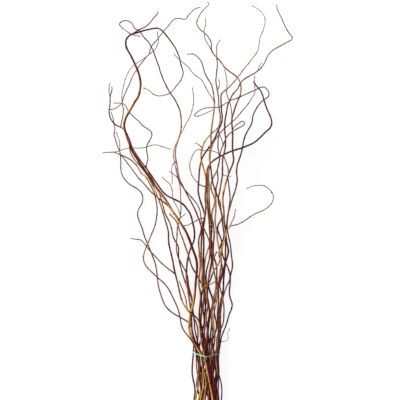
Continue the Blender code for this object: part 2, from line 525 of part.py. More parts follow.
            ],
            [
                (121.5, 155.7), (123.5, 157.8), (127, 162.5), (130.5, 167), (133.5, 171),
                (135.9, 174.3), (138.5, 178), (141.5, 181), (143.7, 183.3), (146.5, 186.7),
                (149.5, 190.2), (152.5, 193.3), (156, 196.2), (159, 198.6), (162, 200.8),
                (165.5, 203.5), (170.3, 207.7),
            ],
        ],
    },
    {
        "name": "gold_diagonal_stem",
        "bark": "bark_gold",
        "radii": (0.00258, 0.00108),
        "rise": 0.02,
        "route": [
            (247, 188.5), (252, 186.2), (256, 185.5), (260, 185.3), (264, 185.8), (267.5, 187.8),
            (270.3, 190.3), (272.5, 193.3), (273.5, 197), (272.7, 201), (270.5, 204.7), (267, 208),
            (263, 210.5), (258.5, 212.3), (254, 214.3), (250, 217), (246.5, 219.5), (242.5, 221.7),
            (238.5, 224), (234.5, 225.2), (230.8, 225.8), (228, 228.7), (226.2, 232.5), (225.1, 237),
            (223.7, 241.7), (222.5, 246.7), (221.6, 252), (220.7, 257), (219.2, 262), (216.7, 266.3),
            (214, 270), (212.2, 274.3), (210.8, 278.7), (208.7, 282.7), (206, 285.7), (203.5, 288.3),
            (202, 291.7), (201.4, 296), (201.3, 301), (201.5, 306.5), (201.5, 312.5), (201, 318.5),
            (200.9, 325), (202, 331), (203.6, 336.5), (204.4, 342), (204.6, 348), (204.9, 354.5),
            (204.4, 361), (203.3, 367.5), (203, 374), (203.9, 380.5), (203.8, 387), (202, 393),
            (200.9, 399.5), (201.3, 409), (203.3, 420), (206.3, 433),
        ],
        "twigs": [
            [(235.3, 209.3), (234.7, 214), (233.8, 218), (231.8, 221.5), (229.7, 226.6)],
            [(216.5, 280.7), (212.5, 283), (209, 284.6), (205.5, 286.2)],
        ],
    },
    {
        "name": "plum_loop_stem",
        "bark": "bark_plum",
        "radii": (0.00267, 0.00108),
        "rise": 0.11,
        "route": [
            (140.5, 37.5), (138, 37), (135, 36.5), (131, 35), (128, 33), (125, 31), (122, 28.2),
            (119.8, 25.8), (120, 24), (122.5, 22.5), (126, 21.5), (129.5, 22.5), (132, 24),
            (133.2, 25.8), (134, 28), (136, 30.3), (138.5, 31.5), (141.3, 34), (143, 36.5),
            (144.8, 39), (147, 41), (149, 43), (150, 45), (151.5, 48), (153.5, 51.5), (154.3, 54),
            (155.3, 57), (156.5, 60), (157.5, 63.5), (159, 66.5), (160.3, 72), (161.7, 75.5),
            (163.3, 80), (165.5, 84.5), (168, 89.5), (170.3, 93.5), (172.5, 96.5), (175, 100),
            (177, 104), (179.3, 109), (180.5, 114), (181.2, 119), (181.3, 124), (181, 130),
            (179.9, 135), (178.7, 139), (177.2, 143.5), (175.9, 148), (175.4, 152.5), (175.6, 157),
            (176.3, 161.5), (177.2, 166), (177.9, 170.5), (178.5, 175), (179.7, 179.7), (181.7, 184),
            (184, 188.5), (186.1, 192.5), (188.4, 197), (190.6, 201), (192.7, 205), (194.7, 209),
            (196.2, 212.5), (197.5, 216), (198.9, 219.3), (200.2, 222.7), (201, 226.3), (201.1, 230.3),
            (200.2, 234), (198.9, 238), (198.6, 243.5), (199.1, 250), (199.7, 257), (200.2, 264),
            (199.8, 271), (198.9, 278), (198.9, 284.5), (200, 290.5), (200.6, 297), (200, 304),
            (199.4, 311), (199.6, 318), (201, 324.5), (202.3, 331), (203, 337.5), (203.4, 344),
            (203, 350.5), (202.2, 357), (202.6, 363.5), (204.1, 370), (205.7, 377), (206.3, 384),
            (205.3, 391), (204.9, 398), (206.2, 406), (206.9, 417), (206.3, 429),
        ],
        "twigs": [
            [(172, 184), (172.4, 178), (171.8, 172), (172, 167.5), (173.3, 164), (176.3, 161.5)],
        ],
    },
    {
        "name": "twin_top_stem",
        "bark": "bark_russet",
        "radii": (0.00229, 0.00096),
        "rise": 0.08,
        "route": [
            (187.3, 55), (190, 54.5), (193, 54.5), (195.5, 55.5), (197.5, 57.5), (200, 60),
            (202, 63.5), (203, 67), (204, 71), (205.5, 75), (207.3, 78.5), (210, 82.5), (212, 87),
            (213.2, 92), (213.7, 97), (214.3, 101), (214.2, 108), (213.7, 113), (213, 118),
            (212.3, 123), (211.6, 128), (211, 133), (210.8, 137.5), (211, 142), (210.6, 146.5),
            (209.9, 151), (209.4, 156), (209.6, 161), (210.3, 165.7), (211.1, 170.5), (211.6, 175.5),
            (212, 180), (213.1, 184.5), (214.4, 188.7), (215.4, 193), (215.6, 198.5), (215.7, 204.5),
            (215.7, 210.5), (215.2, 216.5), (215, 222), (215.9, 227), (216.7, 232), (217.2, 238),
            (218, 244), (219.2, 249.5), (220.4, 255), (221.3, 261), (220.8, 267), (219.9, 273.5),
            (218.9, 280), (218.4, 286.5), (218.4, 293), (218.6, 300), (218, 307), (217.5, 314),
            (217.5, 321), (218, 328), (218.3, 335), (217.8, 342), (216.9, 349), (216.3, 356),
            (216.4, 363), (217.3, 370), (218.1, 377), (218.4, 384), (218, 391), (217.5, 398),
            (217.8, 408), (218.3, 420), (217.7, 433),
        ],
        "twigs": [
            [
                (174.3, 55), (175.5, 56.8), (177.5, 58.7), (179.5, 60), (182, 62.5), (185, 65),
                (189, 68.5), (191.5, 72), (194, 75), (197.5, 77.5), (201, 80), (203.5, 83.5),
                (205, 86.5), (207, 90.5), (209.5, 95), (212, 98), (214.2, 102),
            ],
        ],
    },
    {
        "name": "pointer_stem",
        "bark": "bark_russet",
        "radii": (0.0021, 0.00144),
        "rise": 0.03,
        "route": [
            (103, 152.7), (108, 152.6), (112.5, 152.3), (116, 152.9), (119, 154.3), (123, 155.9),
            (127.5, 157.9), (131, 160), (134, 162.7), (136.6, 165.6), (138.7, 168.7), (140.3, 171.7),
            (142.3, 174.2), (145, 176), (147, 178.5), (149, 182), (151, 186), (153, 190),
            (154.8, 194.3), (155.8, 199), (156.8, 204), (157.2, 210), (156.7, 216), (155.8, 222.5),
            (154.2, 228), (152, 233), (150, 238), (148, 243), (146.4, 247), (144.7, 251),
            (143.6, 255.5), (143.4, 259.3), (144.4, 263), (146.6, 267), (150, 270.5), (153.5, 273.7),
            (157, 277), (160.5, 280), (164, 283.2), (166.6, 286.3), (169, 289.8), (171, 293.7),
            (173, 298), (175, 302), (177, 306.5), (178.6, 311), (179.7, 315.5), (180.4, 320),
            (181.4, 325), (183.2, 329.5), (186, 333.5), (189.3, 337.5), (192.3, 341.5), (194.5, 346),
            (195.8, 351.5), (196.3, 357.5), (196.3, 364), (196.8, 370.5), (197.9, 377), (198.3, 383.5),
            (197.3, 390), (196, 396), (195.5, 403), (196.3, 414), (198, 427),
        ],
        "twigs": [
            [
                (170.7, 149.5), (166, 148), (160, 146), (155, 145), (149, 146.3), (144, 148),
                (138, 148.3), (131, 148), (124, 149.5), (118, 151.5), (113, 152.4),
            ],
        ],
    },
    {
        "name": "bent_stem",
        "bark": "bark_russet",
        "radii": (0.00229, 0.00096),
        "rise": 0.05,
        "route": [
            (254.5, 76), (254.3, 80), (254.3, 85), (254.5, 93.5), (252.5, 97), (250, 101),
            (247, 105.5), (243, 110), (239, 115), (235.5, 119), (231.5, 122.5), (227.5, 126),
            (223.5, 129.5), (219.7, 133.7), (217, 137.3), (214.8, 140.7), (212.9, 144), (211.5, 147.6),
            (210.5, 151.7), (210, 156), (209.9, 161), (209.7, 166), (208.9, 171), (208.5, 176.5),
            (208.9, 182), (209.1, 188), (209, 194), (209.1, 200), (209.4, 206.5), (209.9, 213),
            (210.6, 219), (211.3, 225), (211.6, 231), (211.3, 237.5), (211, 244), (211, 251),
            (211.3, 257.5), (211.4, 264), (210.5, 270.5), (209, 277), (207.6, 283.5), (206.8, 290),
            (206.9, 296.5), (207.7, 303), (207.3, 309.5), (206.1, 316), (206.2, 322.5), (207.3, 329),
            (207.5, 335.5), (206.6, 342), (206, 348.5), (206.4, 355), (207.9, 361.5), (209.3, 368),
            (210, 375), (210, 382), (209.2, 389), (208.9, 396), (209.9, 405), (210.9, 416),
            (210.2, 428),
        ],
        "twigs": [],
    },
    {
        "name": "left_gold_stem",
        "bark": "bark_gold",
        "radii": (0.00248, 0.00108),
        "rise": 0.04,
        "route": [
            (127.8, 134), (129, 139), (129.6, 144), (129.8, 149), (131, 153.5), (133, 157.5),
            (136, 161.6), (139.3, 165.3), (143, 169.8), (147, 175.3), (150.3, 180.8), (153, 186),
            (155.3, 191), (157.2, 195.8), (159.2, 201), (161, 206.3), (162.6, 211), (164, 216),
            (165.8, 222), (167.5, 227.7), (168.5, 233), (168.5, 238), (168.9, 243.5), (170.1, 249.5),
            (171.5, 255.3), (172.8, 261), (173.7, 266.5), (174.9, 272.3), (176.3, 278), (177.8, 284),
            (179, 290), (180.4, 296), (182.4, 302), (185.2, 307), (188.3, 310.8), (191.7, 313.8),
            (194.8, 315.9), (197.3, 318.3), (198.8, 321.8), (199.6, 326.5), (200.2, 331.5),
            (200.7, 337), (201.5, 342.5), (202.8, 348), (204.2, 354), (205.4, 360), (206.9, 367),
            (208.3, 374), (209.6, 381), (210.8, 387), (211.9, 393.5), (212.8, 400), (213.3, 409),
            (212.8, 420), (212.2, 433),
        ],
        "twigs": [
            [
                (131, 238.3), (136, 239.3), (140.5, 239.7), (142.7, 241.3), (144.8, 244), (147, 247),
                (152, 253), (155, 256), (158.5, 260), (162, 263.5), (165.5, 266.5), (169, 269.5),
                (175.2, 274),
            ],
            [
                (179.3, 281.3), (181, 285.3), (182.3, 288.5), (184, 293), (185.3, 297.5), (186.3, 301),
                (186.7, 305), (187.3, 309.5),
            ],
        ],
    },
]


# Heights and smoothing


def eased(values, step, width):
    """The values averaged over a bell of the given width, with the ends held."""
    half = int(3 * width / step) + 1
    offsets = np.arange(-half, half + 1) * step
    bell = np.exp(-0.5 * (offsets / width) ** 2)
    bell /= bell.sum()
    padded = np.pad(values, (half, half), mode="reflect", reflect_type="odd")
    return np.convolve(padded, bell, mode="valid")


def smooth_curve(drawn):
    """Evenly spaced points of a smooth curve through the drawn ones, from root to tip, in metres."""
    knots = np.array(drawn[::-1], float)
    knots = np.column_stack(
        [(knots[:, 0] - MIDDLE_ACROSS) * GRID, (MIDDLE_DOWN - knots[:, 1]) * GRID]
    )
    chords = np.linalg.norm(np.diff(knots, axis=0), axis=1)
    along = np.concatenate([[0.0], np.cumsum(chords)])
    slopes = np.gradient(knots, along, axis=0)
    count = max(int(along[-1] / SAMPLE) + 1, 5)
    places = np.linspace(0.0, along[-1], count)
    left = np.clip(np.searchsorted(along, places, side="right") - 1, 0, len(knots) - 2)
    span = (along[left + 1] - along[left])[:, None]
    t = (places - along[left])[:, None] / span
    curve = (
        (1 + 2 * t) * (1 - t) ** 2 * knots[left]
        + t * (1 - t) ** 2 * span * slopes[left]
        + t**2 * (3 - 2 * t) * knots[left + 1]
        + t**2 * (t - 1) * span * slopes[left + 1]
    )
    step = along[-1] / (count - 1)
    return np.column_stack([eased(curve[:, k], step, READING_NOISE) for k in (0, 1)])


def arc_lengths(points):
    """How far each point is along its polyline."""
    return np.concatenate([[0.0], np.cumsum(np.linalg.norm(np.diff(points, axis=0), axis=1))])


def ramp(value, low, high):
    """0 below low, 1 above high, and a smooth step between."""
    t = np.clip((value - low) / (high - low), 0.0, 1.0)
    return t * t * (3 - 2 * t)


def height_on_grid(down):
    """The Y of a line of the drawing grid."""
    return (MIDDLE_DOWN - down) * GRID


def curl_height(plan):
    """Up and down of a corkscrew stem: its sideways sway, a quarter of a turn later."""
    along = arc_lengths(plan)
    step = along[-1] / (len(plan) - 1)
    breadth = min(CURL_BREADTH, along[-1] / 8)
    broad = np.column_stack([eased(plan[:, k], step, breadth) for k in (0, 1)])
    heading = np.gradient(broad, along, axis=0)
    heading /= np.linalg.norm(heading, axis=1)[:, None] + 1e-9
    sway = (plan[:, 0] - broad[:, 0]) * heading[:, 1] - (plan[:, 1] - broad[:, 1]) * heading[:, 0]
    curl = eased(np.gradient(sway, along) * CURL_HEIGHT, step, CURL_EASE)
    return np.clip(curl, -MOST_CURL, MOST_CURL)


def floor_under(y):
    """How high the lowest stems are held by the band that passes under them."""
    away = np.abs(y - height_on_grid(BAND_FOOT_DOWN))
    lift = BAND_THICKNESS + BAND_FLOOR_GAP
    return lift * (1 - ramp(away, *BAND_LIFT_REACH))


def bells_over(along, need, reach):
    """The lowest smooth profile of bells that is at least the need everywhere."""
    marks = np.nonzero(need > 0)[0]
    if not len(marks):
        return np.zeros(len(along))
    distance = np.abs(along[:, None] - along[None, marks]) / reach[None, marks]
    bells = 0.5 * (1 + np.cos(np.pi * np.clip(distance, 0.0, 1.0)))
    return (bells * need[None, marks]).max(axis=1)


def clear_height(plan, radii, laid, gaps):
    """The lowest centre height at each point that clears every tube already laid."""
    clear = np.full(len(plan), -1.0)
    swell = CLOSE_SWELL + (SECTION_SWELL - CLOSE_SWELL) * ramp(gaps, REST_GAP, 2 * REST_GAP)
    for other in laid:
        sums = radii[:, None] + other["radii"][None, :]
        sums = sums * swell[:, None] + gaps[:, None]
        flat = ((plan[:, None, :] - other["points"][None, :, :2]) ** 2).sum(axis=2)
        room = sums**2 - flat
        needed = np.where(room > 0, other["points"][None, :, 2] + np.sqrt(np.maximum(room, 0)), -1.0)
        clear = np.maximum(clear, needed.max(axis=1))
    return clear


def over_itself(plan, heights, radii, reach):
    """Lifts the outer part of a looping tube over the part nearer its root."""
    along = arc_lengths(plan)
    for _ in range(LOOP_PASSES):
        sums = (radii[:, None] + radii[None, :]) * SECTION_SWELL + FAN_GAP
        flat = ((plan[:, None, :] - plan[None, :, :]) ** 2).sum(axis=2)
        apart = along[:, None] - along[None, :]
        room = np.where(apart > LOOP_APART, sums**2 - flat, -1.0)
        needed = np.where(room > 0, heights[None, :] + np.sqrt(np.maximum(room, 0)), -1.0)
        need = needed.max(axis=1) - heights
        if need.max() <= SMALLEST_LIFT:
            break
        nearest = np.where(room > 0, apart, 1.0).min(axis=1)
        heights = heights + bells_over(along, need, np.minimum(reach, LOOP_REACH * nearest))
    return heights


def laid_tube(plan, radii, wanted, laid, root_free):
    """A tube's centre line: the wanted heights, raised over the surface and what is already laid."""
    along = arc_lengths(plan)
    band = np.abs(plan[:, 1] - height_on_grid(BAND_MIDDLE_DOWN))
    gaps = REST_GAP + (FAN_GAP - REST_GAP) * ramp(band, TIGHT_ZONE, 2 * TIGHT_ZONE)
    near, far = HUMP_REACH
    reach = near + (far - near) * ramp(band, TIGHT_ZONE, HUMP_SPREAD)
    apothem = radii * SECTION_SWELL * np.cos(np.pi / STEM_SIDES)
    heights = np.maximum(wanted, floor_under(plan[:, 1]) + apothem)
    clear = clear_height(plan, radii, laid, gaps)
    step = along[-1] / (len(plan) - 1)
    free = ramp(along, 0.0, root_free) if root_free else np.ones(len(plan))
    for width, narrowing in SOFT_PASSES:
        lift = bells_over(along, clear - heights, reach * narrowing)
        soft = eased(lift, step, width)
        heights = heights + soft * free
    lift = bells_over(along, clear - heights, reach * LAST_NARROWING)
    heights = heights + lift * free
    return over_itself(plan, heights, radii, reach)


# Tubes


def ring_places(points, errors, kept):
    """Which points get a ring, so that the chords between them stay within the allowed errors."""
    chosen = [0]
    while chosen[-1] < len(points) - 1:
        start = chosen[-1]
        end = start + 1
        while end + 1 < len(points):
            if end in kept:
                break
            chord = points[end + 1] - points[start]
            inner = points[start + 1 : end + 1] - points[start]
            share = np.clip(inner @ chord / (chord @ chord), 0, 1)
            off = np.linalg.norm(inner - share[:, None] * chord, axis=1)
            if (off > errors[start + 1 : end + 1]).any():
                break
            end += 1
        chosen.append(end)
    return chosen


def tube(points, radii, sides):
    """A closed tube with a flat side underneath: one face pulled from ring to ring along its route."""
    bm = bmesh.new()
    bmesh.ops.create_circle(bm, cap_ends=True, segments=sides, radius=1.0)
    bm.faces.ensure_lookup_table()
    face = bm.faces[0]
    turns = [np.pi * (1 / sides - 0.5) + 2 * np.pi * k / sides for k in range(sides)]
    steps = np.diff(points, axis=0)
    steps /= np.linalg.norm(steps, axis=1)[:, None]
    headings = np.vstack([steps[:1], steps[:-1] + steps[1:], steps[-1:]])
    for place, (point, radius, heading) in enumerate(zip(points, radii, headings)):
        if place:
            end = [face, *face.edges, *face.verts]
            pulled = bmesh.ops.extrude_face_region(bm, geom=end)["geom"]
            face = next(item for item in pulled if isinstance(item, bmesh.types.BMFace))
        forward = Vector(heading).normalized()
        side = forward.cross(Vector((0, 0, 1))).normalized()
        up = side.cross(forward)
        for vertex, turn in zip(face.verts, turns):
            out = side * float(np.cos(turn)) + up * float(np.sin(turn))
            vertex.co = Vector(point) + out * float(radius)
    bmesh.ops.recalc_face_normals(bm, faces=bm.faces)
    return bm


def mesh_object(name, bm):
    """A mesh object, smooth along its length, from a bmesh."""
    mesh = bpy.data.meshes.new(name)
    bm.to_mesh(mesh)
    bm.free()
    mesh.shade_smooth()
    made = bpy.data.objects.new(name, mesh)
    bpy.context.scene.collection.objects.link(made)
    return made


def fused(trunk, branches):
    """Joins a stem and its twigs in one body."""
    group = bpy.data.collections.new(trunk.name + "_twigs")
    bpy.context.scene.collection.children.link(group)
    for branch in branches:
        bpy.context.scene.collection.objects.unlink(branch)
        group.objects.link(branch)
    union = trunk.modifiers.new("twigs", "BOOLEAN")
    union.operation = "UNION"
    union.operand_type = "COLLECTION"
    union.collection = group
    union.solver = "EXACT"
    graph = bpy.context.evaluated_depsgraph_get()
    joined = bpy.data.meshes.new_from_object(trunk.evaluated_get(graph))
    trunk.modifiers.clear()
    trunk.data = joined
    for branch in branches:
        bpy.data.objects.remove(branch)
    bpy.data.collections.remove(group)


# Materials


def material(name, colour, roughness):
    """A plain finish for one material."""
    made = bpy.data.materials.new(name)
    made.use_nodes = True
    shader = made.node_tree.nodes["Principled BSDF"]
    shader.inputs["Base Color"].default_value = (*colour, 1)
    shader.inputs["Roughness"].default_value = roughness
    shader.inputs["Metallic"].default_value = 0.0
    made.diffuse_color = (*colour, 1)
    return made


# Stems


def stem_lines(stem, laid):
    """The centre lines of a stem and of its twigs, each laid over what is there already."""
    plan = smooth_curve(stem["route"])
    share = arc_lengths(plan) / arc_lengths(plan)[-1]
    thick, thin = stem["radii"]
    radii = thin + (thick - thin) * (1 - share) ** TAPER
    above = plan[:, 1] - height_on_grid(BAND_FOOT_DOWN)
    wanted = stem["rise"] * ramp(above, 0.0, FAN_REACH * GRID)
    wanted += curl_height(plan) * ramp(np.abs(above), *CURL_CLEAR)
    heights = laid_tube(plan, radii, wanted, laid, 0.0)
    lines = [{"points": np.column_stack([plan, heights]), "radii": radii, "feet": set()}]
    laid.append(lines[0])
    for route in stem["twigs"]:
        lines.append(twig_line(route, lines, laid))
        laid.append(lines[-1])
    return lines


def twig_line(route, lines, laid):
    """The centre line of a twig, rooted in the middle of the nearest line of its own stem."""
    plan = smooth_curve(route)
    spots = [np.linalg.norm(line["points"][:, :2] - plan[0], axis=1).argmin() for line in lines]
    gaps = [
        np.linalg.norm(line["points"][spot, :2] - plan[0]) for line, spot in zip(lines, spots)
    ]
    parent = lines[int(np.argmin(gaps))]
    spot = int(spots[int(np.argmin(gaps))])
    parent["feet"].add(spot)
    foot = parent["points"][spot]
    along = arc_lengths(plan)
    plan = plan + (foot[:2] - plan[0]) * (1 - ramp(along, 0.0, TWIG_TURNING))[:, None]
    along = arc_lengths(plan)
    share = along / along[-1]
    thick = min(TWIG_SHARE * parent["radii"][spot], TWIG_THICKEST)
    radii = TWIG_TIP + (thick - TWIG_TIP) * (1 - share) ** TAPER
    curl = curl_height(plan) if along[-1] > LONG_TWIG else np.zeros(len(plan))
    wanted = foot[2] + TWIG_CLIMB * along + curl * ramp(along, 0.0, LONG_TWIG)
    others = [line for line in laid if line is not parent]
    heights = laid_tube(plan, radii, wanted, others, TWIG_FREE)
    return {"points": np.column_stack([plan, heights]), "radii": radii, "feet": set()}


def stem_object(stem, lines, finish):
    """The stem as one body: its own tube and its twigs', fused."""
    bodies = []
    for number, line in enumerate(lines):
        points = line["points"]
        away = np.abs(points[:, 1] - band_place(points[:, 0], points[:, 2]))
        errors = BAND_CHORD_ERROR + (CHORD_ERROR - BAND_CHORD_ERROR) * ramp(
            away, 0.5 * TIGHT_ZONE, 2 * TIGHT_ZONE
        )
        places = ring_places(points, errors, line["feet"])
        sides = TWIG_SIDES if number else STEM_SIDES
        swollen = line["radii"][places] * SECTION_SWELL
        name = stem["name"] if number == 0 else f"{stem['name']}_twig_{number}"
        bodies.append(mesh_object(name, tube(points[places], swollen, sides)))
    if len(bodies) > 1:
        fused(bodies[0], bodies[1:])
    bodies[0].data.materials.clear()
    bodies[0].data.materials.append(finish)
    return bodies[0]


# The rubber band


def band_place(x, up):
    """The Y of the band's middle line where its loop is at the given X and height."""
    peak, even = ((across - MIDDLE_ACROSS) * GRID for across in (BAND_PEAK_ACROSS, BAND_EVEN_ACROSS))
    lean = BAND_LEAN + (BAND_LEAN_RIGHT - BAND_LEAN) * ramp(x, peak, even)
    return height_on_grid(BAND_FOOT_DOWN) - BAND_SLOPE * (x - peak) - lean * up


def outline_round(spots):
    """The corners of the tight loop round a set of points, anticlockwise."""
    ordered = sorted(spots)
    loop = []
    for chain in (ordered, ordered[::-1]):
        start = len(loop)
        for spot in chain:
            while len(loop) >= start + 2:
                (ax, ay), (bx, by) = loop[-2], loop[-1]
                if (bx - ax) * (spot[1] - ay) - (by - ay) * (spot[0] - ax) > NO_TURN:
                    break
                loop.pop()
            loop.append(spot)
        loop.pop()
    return loop


def band_outline(laid, offset):
    """The loop that the band follows, seen along Y, a little outside every stem where it passes."""
    turns = 2 * np.pi * np.arange(SURFACE_TURNS) / SURFACE_TURNS
    spots = []
    for line in laid:
        along = arc_lengths(line["points"])
        places = np.arange(0, along[-1], SURFACE_STEP)
        across, y, up = (np.interp(places, along, line["points"][:, k]) for k in range(3))
        out = np.interp(places, along, line["radii"]) * SECTION_SWELL + offset
        for tilt in np.radians(SURFACE_TILTS):
            ahead = y + out * np.sin(tilt)
            for turn in turns:
                x = across + out * np.cos(tilt) * np.cos(turn)
                v = up + out * np.cos(tilt) * np.sin(turn)
                met = np.abs(ahead - band_place(x, v)) < 0.5 * BAND_WIDTH + SURFACE_MARGIN
                spots.extend(zip(x[met], v[met]))
    return outline_round(spots)


def well_spaced(outline):
    """The outline without its closest corners, and with more of them on its long sides."""
    apart = [outline[0]]
    for spot in outline[1:]:
        if np.hypot(spot[0] - apart[-1][0], spot[1] - apart[-1][1]) > BAND_THICKNESS:
            apart.append(spot)
    loop = []
    for (x, up), (next_x, next_up) in zip(apart, apart[1:] + apart[:1]):
        count = int(np.hypot(next_x - x, next_up - up) / BAND_SPACING) + 1
        loop += [(x + (next_x - x) * k / count, up + (next_up - up) * k / count) for k in range(count)]
    return loop


def rubber_band(laid, finish):
    """A flat loop of rubber, leaning a little, stretched round all the stems."""
    loops = []
    bm = bmesh.new()
    for offset in (BAND_GAP, BAND_GAP + BAND_THICKNESS):
        outline = well_spaced(band_outline(laid, offset))
        corners = [
            bm.verts.new((x, band_place(x, up) - 0.5 * BAND_WIDTH, up)) for x, up in outline
        ]
        loops.append([bm.edges.new(pair) for pair in zip(corners, corners[1:] + corners[:1])])
    bmesh.ops.bridge_loops(bm, edges=loops[0] + loops[1])
    pulled = bmesh.ops.extrude_face_region(bm, geom=list(bm.faces))["geom"]
    moved = [item for item in pulled if isinstance(item, bmesh.types.BMVert)]
    bmesh.ops.translate(bm, verts=moved, vec=(0, BAND_WIDTH, 0))
    bmesh.ops.recalc_face_normals(bm, faces=bm.faces)
    band = mesh_object("rubber_band", bm)
    band.data.set_sharp_from_angle(angle=BAND_SHARP_ANGLE)
    band.data.materials.append(finish)
    return band


def build():
    """Lays every stem in turn and ties the band round them."""
    for leftover in list(bpy.data.objects):
        bpy.data.objects.remove(leftover)
    finishes = {name: material(name, colour, BARK_ROUGHNESS) for name, colour in BARK.items()}
    laid = []
    for stem in STEMS:
        lines = stem_lines(stem, laid)
        stem_object(stem, lines, finishes[stem["bark"]])
    rubber = material("rubber_green", RUBBER_COLOUR, RUBBER_ROUGHNESS)
    rubber_band(laid, rubber)


build()
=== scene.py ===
"""The looks of a tied bunch of curly willow: bark, buds, twigs and cut ends, and the rubber band."""

import bmesh
import bpy
import numpy as np
from mathutils import Matrix, Vector


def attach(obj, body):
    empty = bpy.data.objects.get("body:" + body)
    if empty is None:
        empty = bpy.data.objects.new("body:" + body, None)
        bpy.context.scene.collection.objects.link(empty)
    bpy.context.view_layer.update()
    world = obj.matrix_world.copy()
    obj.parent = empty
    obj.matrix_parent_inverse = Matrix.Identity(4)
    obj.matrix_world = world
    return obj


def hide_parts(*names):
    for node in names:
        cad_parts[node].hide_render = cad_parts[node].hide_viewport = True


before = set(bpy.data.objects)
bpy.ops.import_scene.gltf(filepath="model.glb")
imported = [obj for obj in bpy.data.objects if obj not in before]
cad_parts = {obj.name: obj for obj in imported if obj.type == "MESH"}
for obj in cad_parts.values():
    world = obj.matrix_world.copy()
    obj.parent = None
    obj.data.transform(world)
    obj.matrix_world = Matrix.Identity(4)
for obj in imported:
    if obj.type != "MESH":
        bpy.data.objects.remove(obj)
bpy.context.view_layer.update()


# How the stems lie. The real stems are long shoots of a corkscrew willow, heaped on a surface. Their
# routes are drawn on squares, each from the tip to the cut end, and every stem is lifted over those
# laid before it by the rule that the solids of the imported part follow, so each covers its own solid.

BUNCH_LENGTH = 1.18
BAND_WIDTH = 0.003
BAND_THICKNESS = 0.0012
REST_GAP = 0.0003
FAN_GAP = 0.0021
BAND_FLOOR_GAP = 0.001
TAPER = 0.42
TWIG_SHARE = 0.7
TWIG_THICKEST = 0.0018
TWIG_TIP = 0.00095
TWIG_CLIMB = 0.12
TWIG_TURNING = 0.03
TWIG_FREE = 0.02
LONG_TWIG = 0.08
CURL_HEIGHT = 0.016
MOST_CURL = 0.009
CURL_BREADTH = 0.03
CURL_PARTS = 8
CURL_EASE = 0.006
CURL_CLEAR = (0.05, 0.15)
GRID_LENGTH = 437.0
GRID = BUNCH_LENGTH / GRID_LENGTH
MIDDLE_ACROSS = 197.45
MIDDLE_DOWN = 221.7
FAN_REACH = 350.0
BAND_FOOT_DOWN = 351.8
BAND_MIDDLE_DOWN = 353.8
BAND_PEAK_ACROSS = 206.0
BAND_EVEN_ACROSS = 217.0
BAND_SLOPE = 0.1
BAND_LEAN = 0.5
BAND_LEAN_RIGHT = 0.1
BAND_LIFT_REACH = (0.009, 0.045)
TIGHT_ZONE = 0.020
HUMP_REACH = (0.022, 0.062)
HUMP_SPREAD = 0.2
SOFT_PASSES = ((0.008, 1.0), (0.004, 0.5))
LAST_NARROWING = 0.4
LOOP_APART = 0.025
LOOP_REACH = 0.45
LOOP_PASSES = 3
SMALLEST_LIFT = 1e-6
SAMPLE = 0.0025
READING_NOISE = 0.0028
STEM_SIDES = 5
SECTION_SWELL = 1.12
CLOSE_SWELL = 1.06


def eased(values, step, width):
    """The values averaged over a bell of the given width, with the ends held."""
    half = int(3 * width / step) + 1
    offsets = np.arange(-half, half + 1) * step
    bell = np.exp(-0.5 * (offsets / width) ** 2)
    bell /= bell.sum()
    padded = np.pad(values, (half, half), mode="reflect", reflect_type="odd")
    return np.convolve(padded, bell, mode="valid")


def smooth_curve(drawn):
    """Evenly spaced points of a smooth curve through the drawn ones, from root to tip, in metres."""
    knots = np.array(drawn[::-1], float)
    knots = np.column_stack(
        [(knots[:, 0] - MIDDLE_ACROSS) * GRID, (MIDDLE_DOWN - knots[:, 1]) * GRID]
    )
    chords = np.linalg.norm(np.diff(knots, axis=0), axis=1)
    along = np.concatenate([[0.0], np.cumsum(chords)])
    slopes = np.gradient(knots, along, axis=0)
    count = max(int(along[-1] / SAMPLE) + 1, 5)
    places = np.linspace(0.0, along[-1], count)
    left = np.clip(np.searchsorted(along, places, side="right") - 1, 0, len(knots) - 2)
    span = (along[left + 1] - along[left])[:, None]
    t = (places - along[left])[:, None] / span
    curve = (
        (1 + 2 * t) * (1 - t) ** 2 * knots[left]
        + t * (1 - t) ** 2 * span * slopes[left]
        + t**2 * (3 - 2 * t) * knots[left + 1]
        + t**2 * (t - 1) * span * slopes[left + 1]
    )
    step = along[-1] / (count - 1)
    return np.column_stack([eased(curve[:, k], step, READING_NOISE) for k in (0, 1)])


def arc_lengths(points):
    """How far each point is along its polyline."""
    return np.concatenate([[0.0], np.cumsum(np.linalg.norm(np.diff(points, axis=0), axis=1))])


def ramp(value, low, high):
    """0 below low, 1 above high, and a smooth step between."""
    t = np.clip((value - low) / (high - low), 0.0, 1.0)
    return t * t * (3 - 2 * t)


def height_on_grid(down):
    """The Y of a line of the drawing grid."""
    return (MIDDLE_DOWN - down) * GRID


def curl_height(plan):
    """Up and down of a corkscrew stem: its sideways sway, a quarter of a turn later."""
    along = arc_lengths(plan)
    step = along[-1] / (len(plan) - 1)
    breadth = min(CURL_BREADTH, along[-1] / CURL_PARTS)
    broad = np.column_stack([eased(plan[:, k], step, breadth) for k in (0, 1)])
    heading = np.gradient(broad, along, axis=0)
    heading /= np.linalg.norm(heading, axis=1)[:, None] + 1e-9
    sway = (plan[:, 0] - broad[:, 0]) * heading[:, 1] - (plan[:, 1] - broad[:, 1]) * heading[:, 0]
    curl = eased(np.gradient(sway, along) * CURL_HEIGHT, step, CURL_EASE)
    return np.clip(curl, -MOST_CURL, MOST_CURL)


def floor_under(y):
    """How high the lowest stems are held by the band that passes under them."""
    away = np.abs(y - height_on_grid(BAND_FOOT_DOWN))
    lift = BAND_THICKNESS + BAND_FLOOR_GAP
    return lift * (1 - ramp(away, *BAND_LIFT_REACH))


